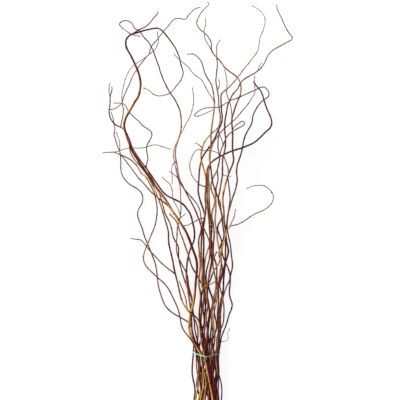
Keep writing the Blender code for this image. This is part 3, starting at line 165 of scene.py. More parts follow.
def bells_over(along, need, reach):
    """The lowest smooth profile of bells that is at least the need everywhere."""
    marks = np.nonzero(need > 0)[0]
    if not len(marks):
        return np.zeros(len(along))
    distance = np.abs(along[:, None] - along[None, marks]) / reach[None, marks]
    bells = 0.5 * (1 + np.cos(np.pi * np.clip(distance, 0.0, 1.0)))
    return (bells * need[None, marks]).max(axis=1)


def clear_height(plan, radii, laid, gaps):
    """The lowest centre height at each point that clears every tube already laid."""
    clear = np.full(len(plan), -1.0)
    swell = CLOSE_SWELL + (SECTION_SWELL - CLOSE_SWELL) * ramp(gaps, REST_GAP, 2 * REST_GAP)
    for other in laid:
        sums = radii[:, None] + other["radii"][None, :]
        sums = sums * swell[:, None] + gaps[:, None]
        flat = ((plan[:, None, :] - other["points"][None, :, :2]) ** 2).sum(axis=2)
        room = sums**2 - flat
        needed = np.where(room > 0, other["points"][None, :, 2] + np.sqrt(np.maximum(room, 0)), -1.0)
        clear = np.maximum(clear, needed.max(axis=1))
    return clear


def over_itself(plan, heights, radii, reach):
    """Lifts the outer part of a looping tube over the part nearer its root."""
    along = arc_lengths(plan)
    for _ in range(LOOP_PASSES):
        sums = (radii[:, None] + radii[None, :]) * SECTION_SWELL + FAN_GAP
        flat = ((plan[:, None, :] - plan[None, :, :]) ** 2).sum(axis=2)
        apart = along[:, None] - along[None, :]
        room = np.where(apart > LOOP_APART, sums**2 - flat, -1.0)
        needed = np.where(room > 0, heights[None, :] + np.sqrt(np.maximum(room, 0)), -1.0)
        need = needed.max(axis=1) - heights
        if need.max() <= SMALLEST_LIFT:
            break
        nearest = np.where(room > 0, apart, 1.0).min(axis=1)
        heights = heights + bells_over(along, need, np.minimum(reach, LOOP_REACH * nearest))
    return heights


def laid_tube(plan, radii, wanted, laid, root_free):
    """A tube's centre line: the wanted heights, raised over the surface and what is already laid."""
    along = arc_lengths(plan)
    band = np.abs(plan[:, 1] - height_on_grid(BAND_MIDDLE_DOWN))
    gaps = REST_GAP + (FAN_GAP - REST_GAP) * ramp(band, TIGHT_ZONE, 2 * TIGHT_ZONE)
    near, far = HUMP_REACH
    reach = near + (far - near) * ramp(band, TIGHT_ZONE, HUMP_SPREAD)
    apothem = radii * SECTION_SWELL * np.cos(np.pi / STEM_SIDES)
    heights = np.maximum(wanted, floor_under(plan[:, 1]) + apothem)
    clear = clear_height(plan, radii, laid, gaps)
    step = along[-1] / (len(plan) - 1)
    free = ramp(along, 0.0, root_free) if root_free else np.ones(len(plan))
    for width, narrowing in SOFT_PASSES:
        lift = bells_over(along, clear - heights, reach * narrowing)
        soft = eased(lift, step, width)
        heights = heights + soft * free
    lift = bells_over(along, clear - heights, reach * LAST_NARROWING)
    heights = heights + lift * free
    return over_itself(plan, heights, radii, reach)


def stem_lines(stem, laid):
    """The centre lines of a stem and of its twigs, each laid over what is there already."""
    plan = smooth_curve(stem["route"])
    share = arc_lengths(plan) / arc_lengths(plan)[-1]
    thick, thin = stem["radii"]
    radii = thin + (thick - thin) * (1 - share) ** TAPER
    above = plan[:, 1] - height_on_grid(BAND_FOOT_DOWN)
    wanted = stem["rise"] * ramp(above, 0.0, FAN_REACH * GRID)
    wanted += curl_height(plan) * ramp(np.abs(above), *CURL_CLEAR)
    heights = laid_tube(plan, radii, wanted, laid, 0.0)
    lines = [{"points": np.column_stack([plan, heights]), "radii": radii, "feet": set()}]
    laid.append(lines[0])
    for route in stem.get("twigs", ()):
        lines.append(twig_line(route, lines, laid))
        laid.append(lines[-1])
    return lines


def twig_line(route, lines, laid):
    """The centre line of a twig, rooted in the middle of the nearest line of its own stem."""
    plan = smooth_curve(route)
    spots = [np.linalg.norm(line["points"][:, :2] - plan[0], axis=1).argmin() for line in lines]
    gaps = [
        np.linalg.norm(line["points"][spot, :2] - plan[0]) for line, spot in zip(lines, spots)
    ]
    parent = lines[int(np.argmin(gaps))]
    spot = int(spots[int(np.argmin(gaps))])
    parent["feet"].add(spot)
    foot = parent["points"][spot]
    along = arc_lengths(plan)
    plan = plan + (foot[:2] - plan[0]) * (1 - ramp(along, 0.0, TWIG_TURNING))[:, None]
    along = arc_lengths(plan)
    share = along / along[-1]
    thick = min(TWIG_SHARE * parent["radii"][spot], TWIG_THICKEST)
    radii = TWIG_TIP + (thick - TWIG_TIP) * (1 - share) ** TAPER
    curl = curl_height(plan) if along[-1] > LONG_TWIG else np.zeros(len(plan))
    wanted = foot[2] + TWIG_CLIMB * along + curl * ramp(along, 0.0, LONG_TWIG)
    others = [line for line in laid if line is not parent]
    heights = laid_tube(plan, radii, wanted, others, TWIG_FREE)
    return {"points": np.column_stack([plan, heights]), "radii": radii, "feet": set()}


# The bark. Young willow bark is smooth and thin, with fine streaks along the stem and small pale pores.
# It is ochre on the side that faces the key light, wine red in between and deep plum on the side turned
# from it: partly the bark's own two colours, partly painted light and painted shade. The thinnest twigs
# are a greyish plum. The cut ends show pale wood round a small dark pith.


PATCH_SCALES = (240.0, 34.0)
STREAK_SCALES = (1500.0, 70.0)
GRAIN_SCALES = (2600.0, 900.0)
PORE_SCALES = (620.0, 230.0)
PATCH_PULL = 0.7
TONE_PULL = 0.32
SHADE_TO_MIDDLE = (0.32, 0.66)
MIDDLE_TO_LIT = (0.72, 0.9)
TURNED_AWAY = (0.04, 0.24, 0.75, 0.0)
TONE_AGE = 0.45
YOUNG_FADE = (0.15, 0.9, 0.0, 0.9)
STREAK_SHADES = (0.3, 0.7, 0.62, 1.18)
PORE_SIZE = (0.14, 0.3, 1.0, 0.0)
PORE_SHARE = (0.6, 0.66)
PORE_SHOWS = 0.15
PORE_COLOUR = (0.36, 0.22, 0.12, 1)
SCAR_SHOWS = 0.75
SCAR_COLOUR = (0.030, 0.010, 0.008, 1)
SCALE_COLOURS = ((0.08, 0.014, 0.010, 1), (0.24, 0.08, 0.022, 1))
WOOD_COLOURS = ((0.42, 0.28, 0.10, 1), (0.54, 0.38, 0.17, 1))
WOOD_RINGS = 9000.0
PITH_SIZE = (0.0003, 0.0006, 1.0, 0.0)
PITH_COLOUR = (0.14, 0.07, 0.03, 1)
BARK_ROUGHNESS = (0.25, 0.75, 0.34, 0.52)
WOOD_ROUGHNESS = 0.85
GRAIN_HEIGHT = 0.4
PORE_HEIGHT = 0.8
BARK_RELIEF = 0.00025
BARK_BUMP = 0.35
BARK_SHEEN = 0.05


def add_node(tree, kind, at, **values):
    """A shader node at a place in the tree, with its plain settings and input values."""
    made = tree.nodes.new(kind)
    made.location = at
    for name, value in values.items():
        if name in made.inputs:
            made.inputs[name].default_value = value
        else:
            setattr(made, name, value)
    return made


def mixed(tree, at, factor, first, second, blend="MIX"):
    """A colour mix of two sockets or colours, by a factor that is a socket or a number."""
    made = add_node(tree, "ShaderNodeMix", at, data_type="RGBA", blend_type=blend)
    for spot, given in ((0, factor), (6, first), (7, second)):
        if isinstance(given, bpy.types.NodeSocket):
            tree.links.new(given, made.inputs[spot])
        else:
            made.inputs[spot].default_value = given
    return made.outputs[2]


def ranged(tree, at, value, low, high, start=0.0, end=1.0):
    """A smooth step of a value from low to high, given out from start to end."""
    made = add_node(tree, "ShaderNodeMapRange", at, interpolation_type="SMOOTHSTEP")
    tree.links.new(value, made.inputs[0])
    for spot, number in ((1, low), (2, high), (3, start), (4, end)):
        made.inputs[spot].default_value = number
    return made.outputs[0]


def summed(tree, at, first, second, operation="ADD"):
    """Two values added, multiplied or otherwise joined."""
    made = add_node(tree, "ShaderNodeMath", at, operation=operation)
    for spot, given in ((0, first), (1, second)):
        if isinstance(given, bpy.types.NodeSocket):
            tree.links.new(given, made.inputs[spot])
        else:
            made.inputs[spot].default_value = given
    return made.outputs[0]


def bark_pattern():
    """The colour, roughness and height of willow bark at one place of a stem."""
    tree = bpy.data.node_groups.new("willow_bark", "ShaderNodeTree")
    for name in ("Lit side", "Middle tone", "Painted shade", "Young"):
        tree.interface.new_socket(name, in_out="INPUT", socket_type="NodeSocketColor")
    tree.interface.new_socket("Colour", in_out="OUTPUT", socket_type="NodeSocketColor")
    tree.interface.new_socket("Roughness", in_out="OUTPUT", socket_type="NodeSocketFloat")
    tree.interface.new_socket("Height", in_out="OUTPUT", socket_type="NodeSocketFloat")
    given = add_node(tree, "NodeGroupInput", (-1400, 400))
    result = add_node(tree, "NodeGroupOutput", (1500, 0))
    link = tree.links.new

    straight = add_node(tree, "ShaderNodeAttribute", (-1900, 0), attribute_name="straight")
    wear = {}
    for place, name in enumerate(("light_facing", "tone", "youth", "mark", "cut", "bud")):
        source = add_node(tree, "ShaderNodeAttribute", (-1900, -250 - 200 * place), attribute_name=name)
        wear[name] = source.outputs["Fac"]

    def stretched(at, around, along):
        """The stem's own straight coordinates, scaled round it and along it."""
        made = add_node(tree, "ShaderNodeMapping", at, vector_type="POINT")
        made.inputs["Scale"].default_value = (around, around, along)
        link(straight.outputs["Vector"], made.inputs["Vector"])
        return made.outputs["Vector"]

    patches = add_node(tree, "ShaderNodeTexNoise", (-1400, 100), Scale=1.0, Detail=3.0)
    link(stretched((-1650, 100), *PATCH_SCALES), patches.inputs["Vector"])
    streaks = add_node(tree, "ShaderNodeTexNoise", (-1400, -150), Scale=1.0, Detail=4.0)
    link(stretched((-1650, -150), *STREAK_SCALES), streaks.inputs["Vector"])
    grain = add_node(tree, "ShaderNodeTexNoise", (-1400, -400), Scale=1.0, Detail=3.0)
    link(stretched((-1650, -400), *GRAIN_SCALES), grain.inputs["Vector"])
    pores = add_node(tree, "ShaderNodeTexVoronoi", (-1400, -650), Scale=1.0, Randomness=1.0)
    link(stretched((-1650, -650), *PORE_SCALES), pores.inputs["Vector"])

    # Painted light and shade: ochre where the bark faces the key light, deep plum painted shade where it
    # faces away, wine red between, and wine red again on the side turned quite away.
    lean = summed(tree, (-1150, 200), patches.outputs["Fac"], 0.5, "SUBTRACT")
    lean = summed(tree, (-1000, 200), lean, PATCH_PULL, "MULTIPLY")
    pull = summed(tree, (-1000, 400), wear["tone"], TONE_PULL, "MULTIPLY")
    lit = summed(tree, (-850, 200), wear["light_facing"], summed(tree, (-850, 300), lean, pull))
    out_of_shade = ranged(tree, (-700, 400), lit, *SHADE_TO_MIDDLE)
    base = mixed(tree, (-500, 400), out_of_shade, given.outputs["Painted shade"], given.outputs["Middle tone"])
    toward_lit = ranged(tree, (-700, 150), lit, *MIDDLE_TO_LIT)
    base = mixed(tree, (-300, 400), toward_lit, base, given.outputs["Lit side"])
    turned_away = ranged(tree, (-350, 650), wear["light_facing"], *TURNED_AWAY)
    base = mixed(tree, (-200, 600), turned_away, base, given.outputs["Middle tone"])
    aged = summed(tree, (-1150, -50), wear["tone"], wear["tone"], "MULTIPLY")
    aged = summed(tree, (-1000, -50), aged, TONE_AGE, "MULTIPLY")
    young = summed(tree, (-850, -50), wear["youth"], aged, "SUBTRACT")
    fade = ranged(tree, (-700, -50), young, *YOUNG_FADE)
    base = mixed(tree, (-100, 400), fade, base, given.outputs["Young"])
    streak = ranged(tree, (-700, -250), streaks.outputs["Fac"], *STREAK_SHADES)
    shading = add_node(tree, "ShaderNodeCombineColor", (-300, -200))
    for channel in ("Red", "Green", "Blue"):
        link(streak, shading.inputs[channel])
    base = mixed(tree, (100, 400), 1.0, base, shading.outputs["Color"], "MULTIPLY")
    chosen = add_node(tree, "ShaderNodeSeparateColor", (-1150, -800))
    link(pores.outputs["Color"], chosen.inputs["Color"])
    pore = ranged(tree, (-900, -600), pores.outputs["Distance"], *PORE_SIZE)
    kept = ranged(tree, (-900, -800), chosen.outputs["Red"], *PORE_SHARE)
    pore = summed(tree, (-500, -600), pore, kept, "MULTIPLY")
    shown = summed(tree, (-300, -600), pore, PORE_SHOWS, "MULTIPLY")
    base = mixed(tree, (300, 400), shown, base, PORE_COLOUR)
    scarred = summed(tree, (300, -100), wear["mark"], SCAR_SHOWS, "MULTIPLY")
    base = mixed(tree, (500, 400), scarred, base, SCAR_COLOUR)
    scales = mixed(tree, (500, 150), streaks.outputs["Fac"], *SCALE_COLOURS)
    base = mixed(tree, (700, 400), wear["bud"], base, scales)

    middle = add_node(tree, "ShaderNodeSeparateXYZ", (-1400, -1000))
    link(straight.outputs["Vector"], middle.inputs["Vector"])
    out = summed(
        tree, (-1000, -1000), summed(tree, (-1200, -1000), middle.outputs["X"], 2.0, "POWER"),
        summed(tree, (-1200, -1150), middle.outputs["Y"], 2.0, "POWER"),
    )
    out = summed(tree, (-800, -1000), out, 0.5, "POWER")
    rings = add_node(tree, "ShaderNodeMath", (-600, -1100), operation="SINE")
    link(summed(tree, (-700, -1200), out, WOOD_RINGS, "MULTIPLY"), rings.inputs[0])
    ring = ranged(tree, (-450, -1200), rings.outputs[0], -1.0, 1.0)
    wood = mixed(tree, (-300, -1100), ring, *WOOD_COLOURS)
    pith = ranged(tree, (-450, -1400), out, *PITH_SIZE)
    wood = mixed(tree, (-100, -1100), pith, wood, PITH_COLOUR)
    base = mixed(tree, (900, 400), wear["cut"], base, wood)

    rough = ranged(tree, (300, -400), streaks.outputs["Fac"], *BARK_ROUGHNESS)
    worn = add_node(tree, "ShaderNodeMix", (700, -400), data_type="FLOAT")
    link(wear["cut"], worn.inputs[0])
    link(rough, worn.inputs[2])
    worn.inputs[3].default_value = WOOD_ROUGHNESS
    fine = summed(tree, (100, -700), grain.outputs["Fac"], GRAIN_HEIGHT, "MULTIPLY")
    height = summed(tree, (300, -700), streaks.outputs["Fac"], fine)
    raised = summed(tree, (300, -900), pore, PORE_HEIGHT, "MULTIPLY")
    height = summed(tree, (500, -700), height, raised)
    link(base, result.inputs["Colour"])
    link(worn.outputs[0], result.inputs["Roughness"])
    link(height, result.inputs["Height"])
    return tree


WILLOW_BARK = bark_pattern()


def bark(name, lit_side_colour, middle_colour, painted_shade_colour, young):
    """One colouring of willow bark, for the stems that share it."""
    made = bpy.data.materials.new(name)
    made.use_nodes = True
    tree = made.node_tree
    shader = tree.nodes["Principled BSDF"]
    pattern = add_node(tree, "ShaderNodeGroup", (-500, 100), node_tree=WILLOW_BARK)
    colours = {"Lit side": lit_side_colour, "Middle tone": middle_colour, "Painted shade": painted_shade_colour, "Young": young}
    for socket, colour in colours.items():
        pattern.inputs[socket].default_value = (*colour, 1)
    bump = add_node(tree, "ShaderNodeBump", (-250, -200), Strength=BARK_BUMP, Distance=BARK_RELIEF)
    tree.links.new(pattern.outputs["Height"], bump.inputs["Height"])
    tree.links.new(pattern.outputs["Colour"], shader.inputs["Base Color"])
    tree.links.new(pattern.outputs["Roughness"], shader.inputs["Roughness"])
    tree.links.new(bump.outputs["Normal"], shader.inputs["Normal"])
    shader.inputs["Metallic"].default_value = 0.0
    shader.inputs["Specular IOR Level"].default_value = BARK_SHEEN
    return made


# Per bark: the ochre painted on the side lit by the key light, the wine red between, the deep plum painted
# shade on the side turned from it, and the greyish plum of young twigs.
BARK_COLOURS = {
    "bark_gold": ((0.60, 0.345, 0.057), (0.19, 0.027, 0.014), (0.066, 0.0036, 0.018), (0.14, 0.040, 0.072)),
    "bark_russet": ((0.45, 0.205, 0.060), (0.165, 0.022, 0.022), (0.062, 0.0035, 0.027), (0.13, 0.04, 0.076)),
    "bark_plum": ((0.36, 0.150, 0.074), (0.125, 0.016, 0.030), (0.054, 0.0035, 0.032), (0.13, 0.038, 0.08)),
}
BARKS = {name: bark(name, *colours) for name, colours in BARK_COLOURS.items()}


# The make of one stem. The shoot is round, a little swollen where a leaf stood, and carries small
# pointed buds close to the bark, a third of a turn apart. Its cut end is square, its twigs flare where
# they leave it, and its tip ends in a bud. Stem, twigs and buds grew as one and are one piece.

RING_SPACING = 0.003
SHOOT_SIDES = 12
TWIG_SIDES = 8
HEADING_REACH = 0.002
FIRST_LEAF = 0.012
FIRST_LEAF_SPREAD = 0.01
LAST_LEAF = 0.008
LEAF_SPACING = 0.031
LEAF_SCATTER = 0.004
LEAF_SHOULDER = 0.0013
SCAR_LENGTH = 0.0009
GOLDEN_TURN = 2.4
NODE_SWELLING = 0.09
NODE_LENGTH = 0.0022
UNEVEN = ((0.025, 190, 1), (0.02, 83, 2))
END_CLEAR = 0.0008
END_EDGE = 0.0003
CUT_MIDDLE = 0.2
CUT_EDGE = 0.9
TIP_ROUNDING = (0.85, 0.45)
FLARE = 0.8
FLARE_LENGTH = 0.0025
FLARE_FROM = 0.0016
YOUNG_UNDER = 0.0021
YOUNG_SPAN = 0.0014
TWIST = 0.6
TWIST_PACE = 17
TWIST_DRIFT = 6.28
BARK_APART = 1.7
TWIG_TONES = (-0.2, 0.2)
SHARP_ANGLE = 1.0
STUB_RADIUS = 0.0023
STUB_LENGTH = 0.0040
TIP_BUD_BACK = 0.0012
TIP_BUD_WIDTH = 1.25
TIP_BUD_LENGTH = 0.0034
BUDS_ABOVE_BAND = 0.08
BUD_THICKEST_STEM = 0.0024
BUD_OFF_FLOOR = 0.002
BUD_SEAT = 0.92
BUD_WIDTH = 0.00045
BUD_GROWTH = 0.22
BUD_SPLAY = 0.22
BUD_ALONG = 0.0018
BUD_LENGTH = 0.0021
BUD_TAPER = 0.5
# The direction of the key light, round which each stem's painted light and shade are laid.
PAINTED_LIGHT_FROM = Vector((-0.93, 0.1, 0.28)).normalized()


def unrolled(line, places):
    """The centre, heading and radius of a line at the given distances from its root."""
    along = arc_lengths(line["points"])
    centres = np.column_stack([np.interp(places, along, line["points"][:, k]) for k in range(3)])
    ahead, behind = (
        np.column_stack([np.interp(places + reach, along, line["points"][:, k]) for k in range(3)])
        for reach in (HEADING_REACH, -HEADING_REACH)
    )
    headings = ahead - behind
    headings /= np.linalg.norm(headings, axis=1)[:, None]
    return centres, headings, np.interp(places, along, line["radii"])


def bark_layers(bm):
    """The values kept at each corner: where it is on the straightened stem, how far it faces the key light
    for the painted light and shade, and what the bark is there.
    """
    names = ("light_facing", "tone", "youth", "mark", "cut", "bud")
    layers = {name: bm.verts.layers.float.new(name) for name in names}
    layers["straight"] = bm.verts.layers.float_vector.new("straight")
    return layers


def shoot(bm, layers, line, look, number, chance, rooted):
    """One stem or twig, pulled from ring to ring from its root to its tip, with its buds."""
    length = arc_lengths(line["points"])[-1]
    first = FIRST_LEAF + FIRST_LEAF_SPREAD * chance.random()
    leaves = np.arange(first, length - LAST_LEAF, LEAF_SPACING)
    leaves = leaves + chance.normal(0, LEAF_SCATTER, len(leaves))
    places = np.arange(RING_SPACING, length, RING_SPACING)
    places = np.concatenate([places, leaves, leaves + LEAF_SHOULDER])
    places = np.unique(np.clip(places, END_CLEAR, length - END_CLEAR).round(4))
    places = np.concatenate([[0.0, 0.0, END_EDGE], places, [length - END_EDGE, length]])
    centres, headings, radii = unrolled(line, places)
    swell = np.ones(len(places))
    for size, pace, shift in UNEVEN:
        swell += size * np.sin(places * pace + shift * number)
    marks = np.zeros(len(places))
    for leaf in leaves:
        swell += NODE_SWELLING * np.exp(-(((places - leaf) / NODE_LENGTH) ** 2))
        marks = np.maximum(marks, np.exp(-(((places - leaf) / SCAR_LENGTH) ** 2)))
    down = 1 - places / length
    swell *= np.interp(down, np.linspace(0, 1, len(look["widths"])), look["widths"])
    if rooted:
        swell += FLARE * np.exp(-np.maximum(places - FLARE_FROM, 0) / FLARE_LENGTH)
    swell[0] = CUT_MIDDLE
    swell[1] *= CUT_EDGE
    swell[-2:] *= TIP_ROUNDING
    cuts = np.zeros(len(places))
    if not rooted:
        cuts[:2] = 1.0
    sides = TWIG_SIDES if rooted else SHOOT_SIDES
    corners = bmesh.ops.create_circle(bm, cap_ends=True, segments=sides, radius=1.0)["verts"]
    face = corners[0].link_faces[0]
    turns = 2 * np.pi * np.arange(sides) / sides
    drift = TWIST_DRIFT * chance.random()
    shades = np.interp(down, np.linspace(0, 1, len(look["tones"])), look["tones"])
    for place, (centre, heading) in enumerate(zip(centres, headings)):
        if place:
            end = [face, *face.edges, *face.verts]
            pulled = bmesh.ops.extrude_face_region(bm, geom=end)["geom"]
            face = next(item for item in pulled if isinstance(item, bmesh.types.BMFace))
        forward = Vector(heading)
        side = forward.cross(Vector((0, 0, 1))).normalized()
        up = side.cross(forward)
        radius = float(radii[place] * swell[place])
        youth = float(np.clip((YOUNG_UNDER - radii[place]) / YOUNG_SPAN, 0, 1))
        turned = TWIST * np.sin(places[place] * TWIST_PACE + drift)
        for vertex, turn in zip(face.verts, turns):
            cos, sin = float(np.cos(turn)), float(np.sin(turn))
            vertex.co = Vector(centre) + (side * cos + up * sin) * radius
            vertex.co.z = max(vertex.co.z, 0.0)
            # How far this corner faces the key light, with a slow twist along the stem: this places the
            # painted light and painted shade.
            facing = side * float(np.cos(turn + turned)) + up * float(np.sin(turn + turned))
            way = places[place] + BARK_APART * number
            vertex[layers["straight"]] = (cos * radius, sin * radius, way)
            vertex[layers["light_facing"]] = 0.5 + 0.5 * facing.dot(PAINTED_LIGHT_FROM)
            vertex[layers["tone"]] = float(shades[place])
            vertex[layers["youth"]] = youth
            vertex[layers["mark"]] = float(marks[place])
            vertex[layers["cut"]] = cuts[place]
    centres, headings, radii = unrolled(line, leaves)
    for spot, leaf in enumerate(leaves):
        bud_on(bm, layers, centres[spot], headings[spot], radii[spot], spot * GOLDEN_TURN + number, leaf)
    tip, heading, radius = unrolled(line, np.array([length - TIP_BUD_BACK]))
    knob = (TIP_BUD_WIDTH * radius[0], TIP_BUD_LENGTH, 0.0)
    if look["snapped"]:
        knob = (STUB_RADIUS, STUB_LENGTH, 1.0)
    bud_at(bm, layers, Vector(tip[0]), Vector(heading[0]), Vector((0, 0, 1)), *knob)


def bud_on(bm, layers, centre, heading, radius, turn, leaf):
    """A bud close to the bark, on the part of the stem that is young and lies free of the rest."""
    forward = Vector(heading)
    side = forward.cross(Vector((0, 0, 1))).normalized()
    up = side.cross(forward)
    out = side * float(np.cos(turn)) + up * float(np.sin(turn))
    free = centre[1] - height_on_grid(BAND_FOOT_DOWN) > BUDS_ABOVE_BAND
    at = Vector(centre) + out * float(radius * BUD_SEAT)
    if not free or radius > BUD_THICKEST_STEM or at.z < BUD_OFF_FLOOR:
        return
    width = BUD_WIDTH + BUD_GROWTH * float(radius)
    axis = (forward + BUD_SPLAY * out).normalized()
    bud_at(bm, layers, at + axis * BUD_ALONG, axis, out, width, BUD_LENGTH, 0.0)


def bud_at(bm, layers, centre, axis, out, width, length, bare):
    """A pointed oval bud of the given half width and half length, or a knob of bare wood."""
    side = axis.cross(out).normalized()
    lift = side.cross(axis)
    turn = Matrix((side, lift, axis)).transposed()
    ball = bmesh.ops.create_uvsphere(bm, u_segments=8, v_segments=6, radius=1.0)["verts"]
    for vertex in ball:
        half = width * (1 - BUD_TAPER * max(vertex.co.z, 0.0))
        local = Vector((vertex.co.x * half, vertex.co.y * half, vertex.co.z * length))
        vertex.co = Vector(centre) + turn @ local
        vertex.co.z = max(vertex.co.z, 0.0)
        vertex[layers["straight"]] = local
        # Buds sit midway between the painted light and the painted shade.
        vertex[layers["light_facing"]] = 0.5
        vertex[layers["bud"]] = 1.0
        vertex[layers["cut"]] = bare


def willow_stem(stem, laid, chance):
    """One stem with its twigs and buds, in place of its solid."""
    lines = stem_lines(stem, laid)
    bm = bmesh.new()
    layers = bark_layers(bm)
    for number, line in enumerate(lines):
        look = {
            "tones": TWIG_TONES if number else stem["tones"],
            "widths": stem.get("twig_widths", (1.0,)) if number else stem["widths"],
            "snapped": number in stem.get("snapped", ()),
        }
        shoot(bm, layers, line, look, len(laid) + number, chance, rooted=number > 0)
    bmesh.ops.recalc_face_normals(bm, faces=bm.faces)
    mesh = bpy.data.meshes.new(stem["name"] + "_bark")
    bm.to_mesh(mesh)
    bm.free()
    mesh.shade_smooth()
    mesh.set_sharp_from_angle(angle=SHARP_ANGLE)
    piece = bpy.data.objects.new(stem["name"] + "_bark", mesh)
    bpy.context.scene.collection.objects.link(piece)
    mesh.materials.append(BARKS[stem["bark"]])
    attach(piece, "root")
    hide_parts(stem["name"])


laid = []
chance = np.random.default_rng(11)


# The first stems lie on the surface itself: the thin plum ones at the two edges of the bunch, and those
# that the rest of the bunch rests on. Their bark runs from plum (-1) to ochre (1), tip to cut end.

